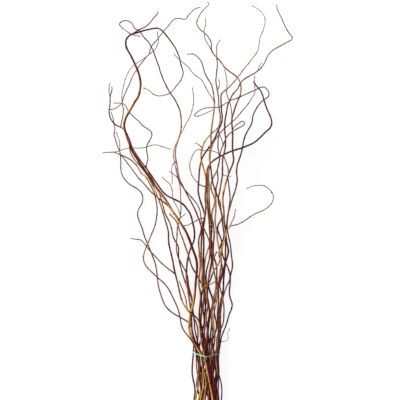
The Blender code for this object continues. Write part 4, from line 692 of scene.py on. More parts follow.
LOWEST_STEMS = [
    {
        "name": "outer_left_stem",
        "bark": "bark_plum",
        "radii": (0.00201, 0.00096),
        "rise": 0.0,
        "tones": (-0.1, -0.2, -0.1, -0.1, 0.1, -0.1, 0.2, -0.3, -0.3),
        "widths": (1.0, 1.0, 1.0, 1.05, 1.2),
        "route": [
            (111, 112), (112.3, 116), (113.3, 119), (113.8, 123), (114.3, 126.5), (115, 130),
            (113.8, 134), (115, 138), (116.5, 143), (117.7, 147), (119.5, 150.5), (120.3, 155),
            (120.7, 160), (120.8, 165), (120.8, 170), (121.6, 173.7), (123.6, 177.7), (126, 181),
            (129.5, 184.3), (133, 186.3), (137, 188.7), (140.5, 191.7), (142.3, 195), (142.8, 198.7),
            (142.3, 202.5), (140.5, 206), (138.4, 209.5), (137.5, 213), (138, 217.5), (140, 223),
            (142, 228), (144.6, 236.7), (148, 244.7), (151.8, 254.3), (155.3, 264), (157, 274),
            (158.1, 284.5), (161, 295.5), (163, 301), (165.2, 305.7), (168.3, 309.3), (172, 312.5),
            (176, 315), (180.5, 317.5), (184.5, 319.8), (188, 322), (190.6, 325.5), (192, 330),
            (193, 335.5), (193.6, 341), (193.6, 347), (193.3, 353), (192.7, 360), (192.2, 367),
            (192.2, 373.5), (193.2, 380), (194.6, 386), (195, 392), (194.2, 398), (193.6, 405),
            (194, 415), (195.3, 430),
        ],
        "twigs": [
            [(116.3, 132.5), (118, 137), (119.4, 141), (120.1, 146), (120, 151)],
        ],
    },
    {
        "name": "right_edge_stem",
        "bark": "bark_plum",
        "radii": (0.0021, 0.00096),
        "rise": 0.0,
        "tones": (0.0, -0.5, -0.8, -1.0, -0.9, -0.8, -0.4),
        "widths": (1.2, 1.15, 1.1, 0.9, 0.8),
        "twig_widths": (0.5,),
        "route": [
            (223.8, 155.5), (225, 159.5), (226.7, 164), (228.1, 168.5), (228.2, 173.5),
            (227.9, 178.5), (228.4, 182), (228.9, 186.5), (229.5, 191), (230, 196), (230, 201),
            (229.3, 206), (228.5, 211), (227.8, 216), (227.3, 221), (227.1, 226), (227.5, 231),
            (228.5, 236.3), (229.8, 242), (230.7, 247.7), (231.2, 253.5), (232, 259.5),
            (232.5, 265.5), (231.7, 271), (230.4, 275.7), (230.3, 281.5), (229.7, 287.7),
            (229.4, 294), (230.6, 299.3), (232.2, 303.7), (231.6, 308.7), (229.5, 313.7),
            (227.9, 318.7), (226.5, 324), (224.6, 329), (222.5, 334), (220.9, 339), (220.3, 344),
            (219.4, 349), (218.7, 354.5), (218.5, 361), (218.9, 368), (218.9, 375), (218.4, 382),
            (218.2, 389), (218.6, 396), (219.4, 405), (220.9, 416), (223, 428),
        ],
        "twigs": [
            [(229.5, 328.8), (227.7, 332), (227.5, 335.5), (228.6, 338), (226.5, 340.8), (220.6, 341.5)],
        ],
    },
    {
        "name": "inner_left_stem",
        "bark": "bark_russet",
        "radii": (0.0022, 0.00108),
        "rise": 0.03,
        "tones": (0.2, -0.3, -0.5, -0.7, 0.0, 0.0),
        "widths": (1.25, 1.15, 1.0, 1.0),
        "route": [
            (169.3, 213.8), (172.3, 216.8), (175.3, 220), (177.7, 224.5), (179.2, 229.7),
            (180.8, 234.5), (182.7, 238.8), (184.2, 243.3), (185.8, 248), (187.4, 252.5), (189, 257.5),
            (190.5, 262.5), (192, 267), (194, 270.7), (196.5, 274.5), (198.8, 278.7), (201, 283),
            (203, 287.5), (204.5, 292.5), (205.3, 298), (205.2, 304), (205.6, 310), (206.3, 316),
            (206, 322), (204.9, 328), (204.3, 334), (204.9, 340), (206, 346), (206.9, 352),
            (207.2, 358.5), (206.5, 365), (205.3, 371.5), (204.9, 378), (205.6, 385), (207, 392),
            (208.3, 399), (208.8, 408), (208.2, 420), (207.5, 431),
        ],
    },
    {
        "name": "high_right_stem",
        "bark": "bark_plum",
        "radii": (0.00239, 0.00096),
        "rise": 0.10,
        "tones": (-0.3, -0.2, 0.1, -0.2, -0.5, -0.4, -0.1, -0.2, -0.5, -0.6, -0.2),
        "widths": (0.6, 0.75, 1.15, 1.2, 1.15, 1.05, 1.0, 1.0),
        "route": [
            (252, 6.5), (256, 9), (259.5, 11.5), (262.5, 14.5), (264.5, 18), (264.8, 22), (264, 27),
            (262.5, 32), (260.5, 36), (259.6, 39), (259, 44), (258, 49), (257, 52.5), (255, 55.5),
            (251.5, 60), (248, 64.5), (244, 69), (240.5, 74), (238, 77), (235, 81), (231, 85.5),
            (227, 89.5), (224, 91.7), (221.3, 94.5), (220.8, 99), (221.2, 105), (221.4, 111),
            (222.2, 117), (221.6, 122.5), (219.7, 127.5), (217.4, 132), (215.9, 136), (214, 139.5),
            (212, 143), (209.5, 146.8), (206.7, 150.7), (204.2, 154.3), (202, 158.3), (200.7, 162.5),
            (199.8, 167.5), (199.2, 173), (198.8, 179), (198.4, 185), (198.1, 190), (198.7, 195),
            (200, 199.8), (201.5, 204.5), (203, 208.7), (204.3, 213), (204.8, 217.5), (204.3, 222),
            (203.4, 227), (203.3, 233), (203.7, 239.5), (203.8, 246), (203.6, 253), (203.5, 260),
            (203.6, 267), (203.2, 274), (203.3, 281), (204, 287.5), (205.1, 293.5), (206.6, 299.5),
            (208.3, 305.5), (210.3, 311.5), (211.5, 318), (211.6, 325), (210.9, 331.5), (210.4, 338),
            (211.2, 344.5), (212.2, 351), (212.5, 358), (212.1, 365), (211.4, 372), (211.6, 379),
            (212.7, 386), (213.4, 393), (212.9, 400), (211.9, 410), (211.6, 422), (212.5, 436),
        ],
    },
    {
        "name": "arched_top_stem",
        "bark": "bark_russet",
        "radii": (0.0021, 0.00096),
        "rise": 0.10,
        "tones": (-0.3, -0.3, 0.3, -0.1, -0.1, -0.1, -0.5, -0.2, 0.1),
        "widths": (1.0, 1.05, 1.05, 1.0),
        "route": [
            (114, 103.3), (118, 103.5), (122, 103.5), (125, 105), (126.5, 107), (127.5, 109.5),
            (130.3, 113.3), (133, 116.3), (136, 119), (139, 121.5), (142, 125), (145, 127.5),
            (148.5, 129.5), (151, 131.5), (152.2, 134.5), (151.3, 138), (149.3, 141.5), (147.3, 145),
            (146.5, 148.3), (147, 152), (147.7, 156), (148, 160), (147, 163), (146.3, 166.5),
            (148.3, 171.5), (151.3, 177.5), (154.5, 183.5), (157.3, 189), (159.7, 194), (161.2, 199),
            (162.4, 204), (163.8, 208.7), (165, 213), (167.2, 217.7), (169.3, 221.5), (170.8, 226),
            (172, 231), (173.3, 237), (175.5, 241.5), (177.7, 245), (178.7, 249), (178.5, 254),
            (179, 259.5), (180.2, 265), (181.8, 271), (183.5, 277), (185.4, 282.8), (187.5, 288.5),
            (189.7, 293.7), (191.6, 299), (192.5, 305), (193, 311), (193.7, 317), (194.3, 323),
            (194.8, 329.5), (196.2, 336), (197.5, 342), (199.3, 347.5), (200.9, 353), (201.8, 359.5),
            (202.3, 366), (201, 372.5), (200.7, 379), (201.5, 386), (201.8, 393), (200.5, 400),
            (199.3, 410), (199, 422), (199.8, 434),
        ],
    },
    {
        "name": "curl_stem",
        "bark": "bark_russet",
        "radii": (0.00267, 0.00096),
        "rise": 0.09,
        "tones": (-0.1, 0.0, -0.1, 0.0, -0.3, -0.3, 0.1, 0.0, -0.3, -0.2),
        "widths": (1.15, 1.1, 1.15, 1.1, 1.05, 1.0),
        "twig_widths": (1.2,),
        "snapped": (0,),
        "route": [
            (112, 87.5), (112.5, 89), (112, 92), (110.7, 96), (110.5, 99), (110.4, 103), (110, 107),
            (109.3, 111), (109.7, 115), (110.7, 118.5), (112.5, 121.5), (115, 124.5), (117.5, 126),
            (120, 127), (122.5, 128.3), (125.5, 131.3), (128, 136), (130.3, 141.5), (132.3, 147.5),
            (135.7, 153.3), (139.5, 159), (143.5, 164.5), (148, 170.5), (152.5, 177), (156.5, 183),
            (160, 188), (163.5, 192.5), (166.5, 195.3), (170.5, 197.5), (175, 199.7), (180, 202),
            (184, 205), (187, 209), (190, 213.3), (191.5, 217.5), (192.5, 222), (193.7, 226.5),
            (194.4, 231), (194.5, 236), (194, 240.5), (192.3, 244.5), (190.3, 249), (188.9, 253.5),
            (187.8, 258.5), (187, 264), (186.5, 271), (186.3, 278), (186.9, 284.5), (188, 290.5),
            (188.8, 297), (189.8, 303), (190.7, 309.5), (191.3, 316), (191.5, 323), (192, 330),
            (193.6, 337), (195.8, 343), (197.6, 348.5), (198.8, 354), (199.6, 360), (200.3, 367),
            (201.5, 374), (202.9, 381), (203.6, 388), (203.2, 395), (202.2, 402), (201.5, 412),
            (201.8, 424), (202.4, 435),
        ],
        "twigs": [
            [(110.5, 83.5), (109.7, 85.5), (109.3, 89), (109.5, 93), (110.6, 97)],
            [(121.3, 104.6), (118, 107.3), (115.5, 109), (112, 109.7), (109.5, 110.3)],
            [
                (200, 8.5), (196.5, 9.3), (194, 10.5), (191.5, 13), (189.5, 15), (187.5, 17.5),
                (186.3, 19.8), (184.5, 20.5), (181, 19.6), (177, 19.3), (174.7, 19.6), (173.3, 20.8),
                (171, 23.2), (169.3, 25.5), (167, 28.5), (164, 31.5), (161.5, 35), (159.5, 37.3),
                (158, 39.5), (156.5, 41.5), (154, 44), (152, 46.5), (150.8, 49), (149.8, 52),
                (149.5, 54.5), (147, 57), (144, 61), (141.5, 64), (139.5, 66.5), (137, 70.5),
                (135, 73), (132.7, 77), (131, 81), (129.3, 85.5), (127.5, 89), (125.8, 93),
                (124.3, 96.5), (123.3, 100), (122.3, 103.5), (122.8, 106), (123.8, 109), (123.5, 113),
                (122.8, 118), (122, 122), (121, 127.4),
            ],
            [
                (158.3, 32.5), (157.3, 34.5), (158, 37), (158.8, 40), (158.5, 43.5), (157, 47),
                (155.3, 50.3), (153.5, 52), (151, 54), (149, 55.5), (146.5, 57.5), (143.5, 59.8),
                (140, 62), (137, 63.8), (132.5, 67.5), (130.5, 69.8), (128.5, 73), (126.8, 77),
                (125.3, 80.5), (124.5, 84), (123.6, 88), (122.5, 92), (122.3, 96), (122.3, 100),
                (122.5, 104.5),
            ],
        ],
    },
]

for stem in LOWEST_STEMS:
    willow_stem(stem, laid, chance)


# The stems of the middle, thin shoots with most of the tips at the top and the right of the bunch. They
# were laid in and over the first ones, and cross over and under each other all the way up.

MIDDLE_STEMS = [
    {
        "name": "dark_elbow_stem",
        "bark": "bark_plum",
        "radii": (0.00258, 0.00156),
        "rise": 0.05,
        "tones": (
            -0.7, -0.8, -0.9, -0.9, -0.7, 0.5, 0.6, 0.6, 0.3, -0.1,
            0.1, -0.5, -0.2, -0.2, -0.4, -0.6, -0.5, 0.3, 0.1,
        ),
        "widths": (1.1, 1.1, 1.1, 1.0, 1.0),
        "route": [
            (253.5, 81.5), (255, 84.5), (258.5, 88.5), (260.5, 91), (262.3, 95), (263.5, 99),
            (265, 104), (267, 109.5), (269.5, 115), (271, 119), (271.7, 123.5), (270.5, 127.3),
            (267.7, 130.3), (264.3, 133.3), (261, 136.7), (257.7, 139.8), (254.3, 142.5),
            (250.5, 144.5), (246.5, 146.1), (242, 148), (237.5, 149.3), (233, 150.7), (229, 152.2),
            (225.3, 153.9), (221.5, 155.7), (217.7, 157.8), (214.2, 160), (211.2, 162.6),
            (208.7, 165.7), (207.3, 169.7), (206.9, 174.5), (207.3, 179.7), (207.4, 185.5),
            (207.1, 191), (207.1, 197), (207.4, 203), (207.9, 209), (208.5, 215), (209.1, 221),
            (209.5, 227), (209.9, 233), (210.9, 239), (212.3, 244.7), (212.9, 250.7), (212.4, 257),
            (211.2, 263.5), (210, 270), (208.9, 276.5), (208, 283), (208.9, 288.5), (210.7, 293.5),
            (212.4, 298.5), (212.6, 304), (211.3, 309.5), (210, 315.5), (209, 322), (208.3, 329),
            (207.8, 336), (207.5, 343), (207.8, 350), (208.7, 357), (209.5, 364), (209.3, 371),
            (208.7, 378), (209.3, 385), (210.5, 392), (211.2, 399), (210.6, 409), (209.6, 421),
            (208.9, 434),
        ],
    },
    {
        "name": "short_stem_left",
        "bark": "bark_plum",
        "radii": (0.00229, 0.00156),
        "rise": 0.0,
        "tones": (0.0, -0.2, -0.6, -0.6, 0.3, 0.0),
        "widths": (1.1, 1.0, 1.0),
        "route": [
            (213.7, 223.7), (212.3, 227), (210.9, 232), (209.9, 238), (209.7, 245), (209.9, 252),
            (209.3, 259), (207.7, 265.5), (206.3, 272), (206, 279), (206.9, 286), (207.6, 293),
            (206.6, 300), (205.3, 307), (205, 314), (206.2, 321), (207.3, 328), (206.8, 335),
            (206, 342), (206.9, 349), (208.3, 356), (208.6, 363), (207.6, 370), (206.9, 377),
            (207.8, 384), (208.9, 391), (208.6, 399), (207.6, 409), (208.2, 421), (209.2, 433),
        ],
    },
    {
        "name": "fork_stem",
        "bark": "bark_russet",
        "radii": (0.00229, 0.00096),
        "rise": 0.06,
        "tones": (0.1, 0.3, 0.6, 0.0, -0.1, 0.0, 0.0, -0.2, -0.8, -0.7),
        "widths": (0.8, 0.8, 0.85, 1.1, 1.0, 1.0),
        "route": [
            (192.3, 88), (193, 92), (193.7, 97), (193.7, 102), (193, 107), (191.5, 112), (190, 117),
            (187.5, 121.5), (185, 126), (183, 130), (180.8, 134), (179, 138), (177, 142.3),
            (174.8, 146.7), (173.7, 151), (173.5, 155.5), (174.2, 160), (175, 164.5), (175.9, 169),
            (176.9, 174), (178.3, 179), (180.3, 183.4), (182.8, 187.3), (186, 191), (189, 194.5),
            (192, 198), (195, 201.5), (197.5, 205.2), (199.4, 209), (200.5, 213), (200.9, 218),
            (201.9, 222.8), (203.4, 227), (205.1, 231), (207, 235.3), (208.7, 239.5), (209.4, 244),
            (208.3, 248.5), (206.8, 253), (205.5, 257.7), (204.7, 263), (204.3, 269), (204.3, 275.5),
            (205, 282), (206, 288), (206.9, 294), (208, 300), (209, 306.5), (209.3, 313),
            (208.5, 319.5), (207.7, 326), (208, 333), (208.9, 339.5), (209.5, 346), (209.9, 353),
            (210.4, 360), (210.9, 367), (211.9, 374), (213, 381), (213.9, 388), (214.5, 395),
            (214.8, 403), (214.2, 414), (213.8, 425),
        ],
    },
    {
        "name": "split_top_stem",
        "bark": "bark_gold",
        "radii": (0.00258, 0.00096),
        "rise": 0.09,
        "tones": (-0.4, -0.2, 0.0, 0.2, -0.2, -0.2, -0.1, -0.2, -0.4, -0.6, -0.8),
        "widths": (0.8, 1.0, 1.15, 1.2, 1.15, 1.0, 1.0, 0.95),
        "route": [
            (207.5, 3.3), (209.3, 4.5), (208.5, 6), (206, 8.3), (203.5, 10.5), (200.3, 15),
            (198.8, 17.8), (197.5, 20), (196.7, 24), (197.3, 26.5), (199, 29), (201.5, 31.5),
            (203.8, 33), (206, 35), (208.5, 38), (210.5, 41.5), (211.5, 45), (211.3, 48.5),
            (211.7, 51.5), (213.3, 54.5), (216, 57.3), (219, 60.3), (222, 64.3), (224.5, 68),
            (228, 71), (231.5, 73.5), (235, 76), (237, 78), (239.3, 81.5), (240.3, 84.5), (240.8, 90),
            (240.3, 94.5), (239, 98), (237, 102.5), (235, 108), (233.5, 113), (232, 117.5),
            (231.7, 123), (232.3, 130), (232.6, 137), (232.4, 144), (232.4, 150), (233, 155),
            (233.6, 159), (233, 163), (231.4, 167), (229.6, 171), (228.2, 175), (226.6, 179.5),
            (225.3, 184.5), (224.1, 189.5), (223.1, 194.5), (222.6, 199.5), (222.9, 204.5),
            (223.6, 209.5), (223.8, 214.5), (223.9, 219.5), (224.5, 224.5), (225.3, 229.5),
            (225.8, 235), (226.3, 241), (227.6, 246.5), (228.4, 252), (227.3, 257), (225.7, 262),
            (224.8, 268), (224, 274.5), (223.5, 281), (223.4, 287.5), (222.6, 293), (221.4, 298.5),
            (220.2, 304.5), (219.3, 311), (218.9, 318), (219.2, 325), (219.5, 332), (219.3, 339),
            (218.4, 346), (217.6, 353), (217.4, 360), (217.7, 367), (217.3, 374), (216.5, 381),
            (216.3, 388), (216.9, 395), (216.2, 403), (215.2, 414), (216, 427),
        ],
        "twigs": [
            [
                (205.5, 19.5), (205.5, 26.5), (204.3, 29), (204, 32.5), (204.3, 36), (204.8, 39),
                (206, 42), (208.5, 45.5), (210.5, 49.3), (212.6, 53),
            ],
            [
                (224.3, 70.5), (225.8, 75), (226.5, 80), (227, 85), (226.5, 90), (226.5, 94),
                (227.5, 97), (229, 101), (230.3, 105), (231.2, 110), (231.7, 114), (231.9, 119),
            ],
        ],
    },
    {
        "name": "leaf_loop_stem",
        "bark": "bark_plum",
        "radii": (0.00229, 0.00084),
        "rise": 0.10,
        "tones": (-0.2, 0.1, -0.1, -0.5, -0.7, -0.4, 0.0, 0.2, -0.2, -0.4, 0.1),
        "widths": (0.95, 0.95, 1.15, 1.1, 1.0, 1.0),
        "route": [
            (213, 110.5), (209, 112), (205, 113.8), (201, 115.5), (197, 116.5), (194, 116.2),
            (195.5, 114), (198.5, 111.5), (201, 110), (205, 108.5), (210, 108), (215, 108),
            (220, 107.5), (222, 106), (226, 103.5), (229.5, 101.5), (232, 100), (235, 99.5),
            (238.5, 98), (242, 96.3), (246, 94.5), (250, 92.5), (254, 91), (258, 89), (261, 87.5),
            (264, 87.5), (267, 90), (268.5, 93), (268.5, 96.5), (265.5, 99), (262.5, 101),
            (259.5, 104), (257, 107.5), (255, 111), (253.5, 114), (252.5, 117), (252, 122),
            (250.5, 126), (248.3, 129.5), (246.2, 133.5), (244.3, 138), (243.3, 142), (242.6, 147),
            (241.5, 151.5), (240.3, 156), (238.7, 160.5), (237.2, 165), (236.5, 170), (236.6, 175),
            (237.2, 179), (236.8, 183), (236, 187), (234.9, 191), (233.5, 195), (232, 199.5),
            (230.7, 204), (229.3, 208.5), (228.2, 213), (227.4, 218), (226.7, 223), (226.1, 228.5),
            (225.8, 234.5), (225.5, 241), (225.5, 248), (225.4, 255), (225, 262), (223.9, 268),
            (222.6, 274), (221, 279.5), (219.2, 284.5), (217.6, 289.5), (216.2, 295), (214.9, 300.5),
            (213.2, 305.5), (211.9, 311), (211.7, 317), (212.3, 323.5), (212.9, 330), (212.5, 336.5),
            (211.6, 343), (211.5, 350), (211.5, 357), (210.7, 364), (210.2, 371), (210.9, 378),
            (211.9, 385), (212.4, 392), (213.9, 399), (215.5, 408), (216.8, 420), (217.9, 435),
        ],
    },
    {
        "name": "far_right_stem",
        "bark": "bark_russet",
        "radii": (0.00229, 0.00096),
        "rise": 0.06,
        "tones": (-0.4, 0.0, 0.2, 0.2, -0.2, -0.3, 0.0, -0.3, -0.4, -0.7, -0.7),
        "widths": (1.0, 1.0, 1.2, 1.15, 1.0, 1.0, 1.0),
        "twig_widths": (0.8,),
        "route": [
            (276.5, 5.5), (277, 9.5), (279, 14), (281.5, 19), (283.5, 24), (285.5, 28), (287.5, 31.5),
            (290, 35), (292, 37.5), (291.5, 40.2), (288, 42), (283.5, 44.5), (280, 46.5), (276, 48.5),
            (272.5, 50.8), (269, 54), (266.5, 58), (265, 62), (262.5, 66), (260, 69.5), (257.5, 71.3),
            (254.5, 73.5), (250, 76), (246, 78.5), (243, 80.5), (240.5, 83.3), (239, 86), (237, 90),
            (234.5, 92.5), (232.8, 94.5), (231, 97.5), (230, 100), (228, 104), (227, 109), (226, 115),
            (225, 120), (224.6, 125), (224.6, 130), (225.1, 135), (225.5, 139.5), (225.4, 144.5),
            (225, 149), (224, 153), (222.8, 157.5), (222.4, 162.5), (222.5, 168), (222.4, 173),
            (222, 178), (221, 183), (220.3, 188), (219.4, 193), (218.2, 198), (218.6, 203), (220, 208),
            (221.4, 213), (221.8, 217.5), (220.3, 221), (218.3, 224.5), (217.5, 229), (218.7, 233.5),
            (220.7, 238), (221.8, 243.5), (221.6, 249.5), (222.6, 255), (224.3, 260), (226.7, 265),
            (228.7, 270), (229.9, 275), (229.5, 280), (227.4, 284.5), (225.3, 289.5), (223.7, 294.5),
            (222.2, 300), (221.2, 306), (220.6, 312.5), (220.3, 319.5), (220.6, 326.5), (220.3, 333),
            (219, 339.5), (217.3, 346), (215.6, 352.5), (214.8, 359), (215.2, 366), (215.9, 373),
            (215.1, 380), (214.4, 387), (215.2, 394), (215.9, 402), (217.6, 412), (219.4, 424),
        ],
        "twigs": [
            [(261, 63.5), (259, 67), (257.6, 71.2)],
            [(230.5, 176.5), (226.5, 176.3), (222.2, 175)],
        ],
    },
    {
        "name": "crossing_stem",
        "bark": "bark_russet",
        "radii": (0.0021, 0.00096),
        "rise": 0.04,
        "tones": (0.1, 0.1, 0.1, -0.7, -0.7, -0.6, 0.0),
        "widths": (1.0, 1.0, 1.1, 1.1),
        "route": [
            (169.5, 171.5), (172.5, 173.4), (175.5, 175.8), (178, 178.7), (179.4, 183), (180.3, 189),
            (180.6, 196), (180.8, 203), (181, 209), (180.5, 214), (179.9, 218.5), (178.7, 222.5),
            (177.6, 226.5), (177.1, 231), (177.1, 236), (176.6, 241), (176.4, 247), (176.9, 252.5),
            (178.4, 257.5), (180.4, 261.5), (182.4, 265.5), (184.6, 269.3), (186.7, 273.7), (188, 279),
            (188.5, 284.5), (189.7, 290), (191.3, 295.5), (192.2, 301), (191.6, 306.5), (192.2, 312.5),
            (194, 318), (196.3, 323), (197.6, 328.5), (198, 334.5), (197.5, 340.5), (197, 346.5),
            (196.7, 352.5), (197.6, 359), (198.6, 365.5), (198.4, 372), (197.3, 378.5), (196.8, 384.5),
            (198, 390.5), (199.5, 396.5), (199.8, 404), (198.3, 414), (197.2, 428),
        ],
        "twigs": [
            [
                (162, 177), (164.5, 179.5), (167, 181.5), (169.5, 184), (171.3, 186.7), (172.3, 190.5),
                (172.5, 194.5), (173, 198.5), (174.5, 202.5), (176.5, 206), (178.3, 209.5),
                (179.5, 213), (180.3, 215.5),
            ],
            [(185, 214), (182.7, 216), (180, 218)],
        ],
    },
    {
        "name": "arc_stem",
        "bark": "bark_gold",
        "radii": (0.00248, 0.00108),
        "rise": 0.10,
        "tones": (-0.1, 0.1, 0.6, 0.4, 0.6, 0.4, 0.3, 0.2, -0.2, 0.1, 0.0),
        "widths": (0.95, 1.1, 1.2, 1.15, 1.0, 1.0),
        "twig_widths": (0.95,),
        "route": [
            (220, 41), (218.3, 43), (217, 45.5), (216.5, 48), (216.7, 53), (216.5, 57), (217, 61),
            (217.3, 66), (216.7, 70), (216.3, 76), (215.8, 79.5), (216, 84), (216.8, 88), (217.5, 93),
            (218.3, 97), (218.6, 104), (219, 110), (220.2, 116), (219.8, 122), (218.2, 127),
            (216, 130.3), (213, 132.3), (210.5, 134.7), (208, 137.5), (205.7, 140), (204.2, 142.7),
            (203, 145.8), (202, 149), (201.3, 152), (200.9, 155.5), (201, 159.5), (201.9, 163.3),
            (203.2, 167.5), (204.5, 172), (205.7, 177), (206.1, 183), (205.6, 189), (205.1, 195),
            (205.3, 201), (205.7, 207), (205.5, 213), (204.4, 218.5), (203, 223.5), (202.2, 229),
            (201.6, 235), (201.4, 242), (201.2, 249), (201.4, 256), (202, 263), (202.3, 270),
            (201.8, 277), (201.7, 283.5), (202.9, 289.5), (203.9, 295.5), (203.4, 302), (202.9, 308.5),
            (203.6, 315), (204.3, 321.5), (203, 328), (201.9, 334), (200.7, 340), (199.3, 346.5),
            (198.6, 353), (199.5, 359.5), (199.9, 366), (199.2, 372.5), (199.3, 379), (200.3, 385.5),
            (200.5, 392), (198.9, 398.5), (198, 407), (200, 417), (203.5, 430),
        ],
        "twigs": [
            [(218.5, 80), (219.7, 82.5), (219.5, 85), (218.3, 88), (217.2, 91.5)],
            [
                (218.2, 153.4), (215, 152), (211.8, 151), (207.5, 150.8),
                (203.5, 150.9), (201, 150.3), (198.2, 149.3), (195.5, 151), (193.5, 153.5), (192, 157),
                (190.5, 161), (189.5, 165), (190, 168.5), (191, 172.5), (192, 175.5), (193, 177.5),
                (195, 180.3), (197.5, 182.8), (199.5, 184.5), (202, 185.7), (205.9, 186.3),
            ],
            [(195.5, 143.3), (198, 144.3), (200.5, 146.3), (202.2, 148.3)],
            [
                (184.2, 225.5), (187.1, 225.5), (190.6, 223.5), (194.1, 222.1), (197.7, 219.8),
                (201, 218.7), (204.4, 218.3),
            ],
        ],
    },
    {
        "name": "narrow_loop_stem",
        "bark": "bark_gold",
        "radii": (0.00239, 0.00108),
        "rise": 0.06,
        "tones": (0.2, 0.6, 0.6, 0.3, 0.5, 0.4, -0.2, -0.7, 0.0),
        "widths": (1.05, 1.1, 1.15, 1.05, 1.0, 1.0),
        "twig_widths": (1.15,),
        "route": [
            (233, 129), (235, 126), (238.5, 123.5), (242, 121.5), (244, 122), (244.8, 124),
            (242.5, 126), (238, 128.5), (233, 131.3), (229.5, 133.8), (226.3, 137.5), (224.8, 141),
            (223.3, 144.7), (221.8, 148), (220.5, 151.7), (219.8, 155.7), (219.4, 160), (218.7, 164.3),
            (217.6, 168.5), (216, 172.5), (214, 176), (212.3, 179.8), (211, 184), (211, 188.5),
            (212.2, 192.5), (214, 196.5), (214.7, 201), (214, 205.5), (212.7, 209.5), (211.7, 214),
            (212, 219), (212.9, 224), (213.8, 229), (214.1, 234.5), (213.7, 240), (213.3, 246),
            (213.1, 252), (214, 257.5), (215.7, 262.5), (216.7, 268), (216.6, 274.5), (217, 281),
            (217.3, 287.5), (217, 294), (216.5, 300.5), (215.3, 306.5), (213.9, 312.5), (213.3, 318.5),
            (213.6, 325), (214.5, 331.5), (214.8, 338), (213.9, 344.5), (213, 351), (213.4, 357.5),
            (214, 364.5), (213.5, 371.5), (212.6, 378.5), (212.3, 385.5), (211.1, 392), (209.7, 399),
            (209.2, 408), (210.2, 419), (211.3, 432),
        ],
        "twigs": [
            [(218.4, 129), (218.8, 132), (219.8, 135.5), (221.2, 139), (222.9, 144.7)],
        ],
    },
    {
        "name": "short_stem_right",
        "bark": "bark_plum",
        "radii": (0.0022, 0.00156),
        "rise": 0.0,
        "tones": (0.2, 0.3, -0.2, -0.7, -0.5, 0.0),
        "widths": (1.1, 1.0, 1.0),
        "route": [
            (216.8, 251.7), (214.7, 256), (213, 261), (213, 267), (214.2, 273), (215.5, 279),
            (215.9, 285.5), (215, 292), (213.7, 298), (213.2, 304.5), (214.1, 311), (215.2, 317.5),
            (216.3, 323.5), (216.2, 330), (214.2, 335.5), (212.3, 340.5), (212.9, 346.5),
            (214.3, 352.5), (214.2, 359), (212.9, 366), (212.9, 373), (213.9, 380), (214.2, 387),
            (213.4, 394), (213.6, 402), (214.9, 412), (214.5, 424),
        ],
    },
]

for stem in MIDDLE_STEMS:
    willow_stem(stem, laid, chance)


# The stems on top. The thickest one, ochre, hooks over at the upper left, and three more ochre ones
# cross the bunch near the band. They were laid last and rest on all the others.

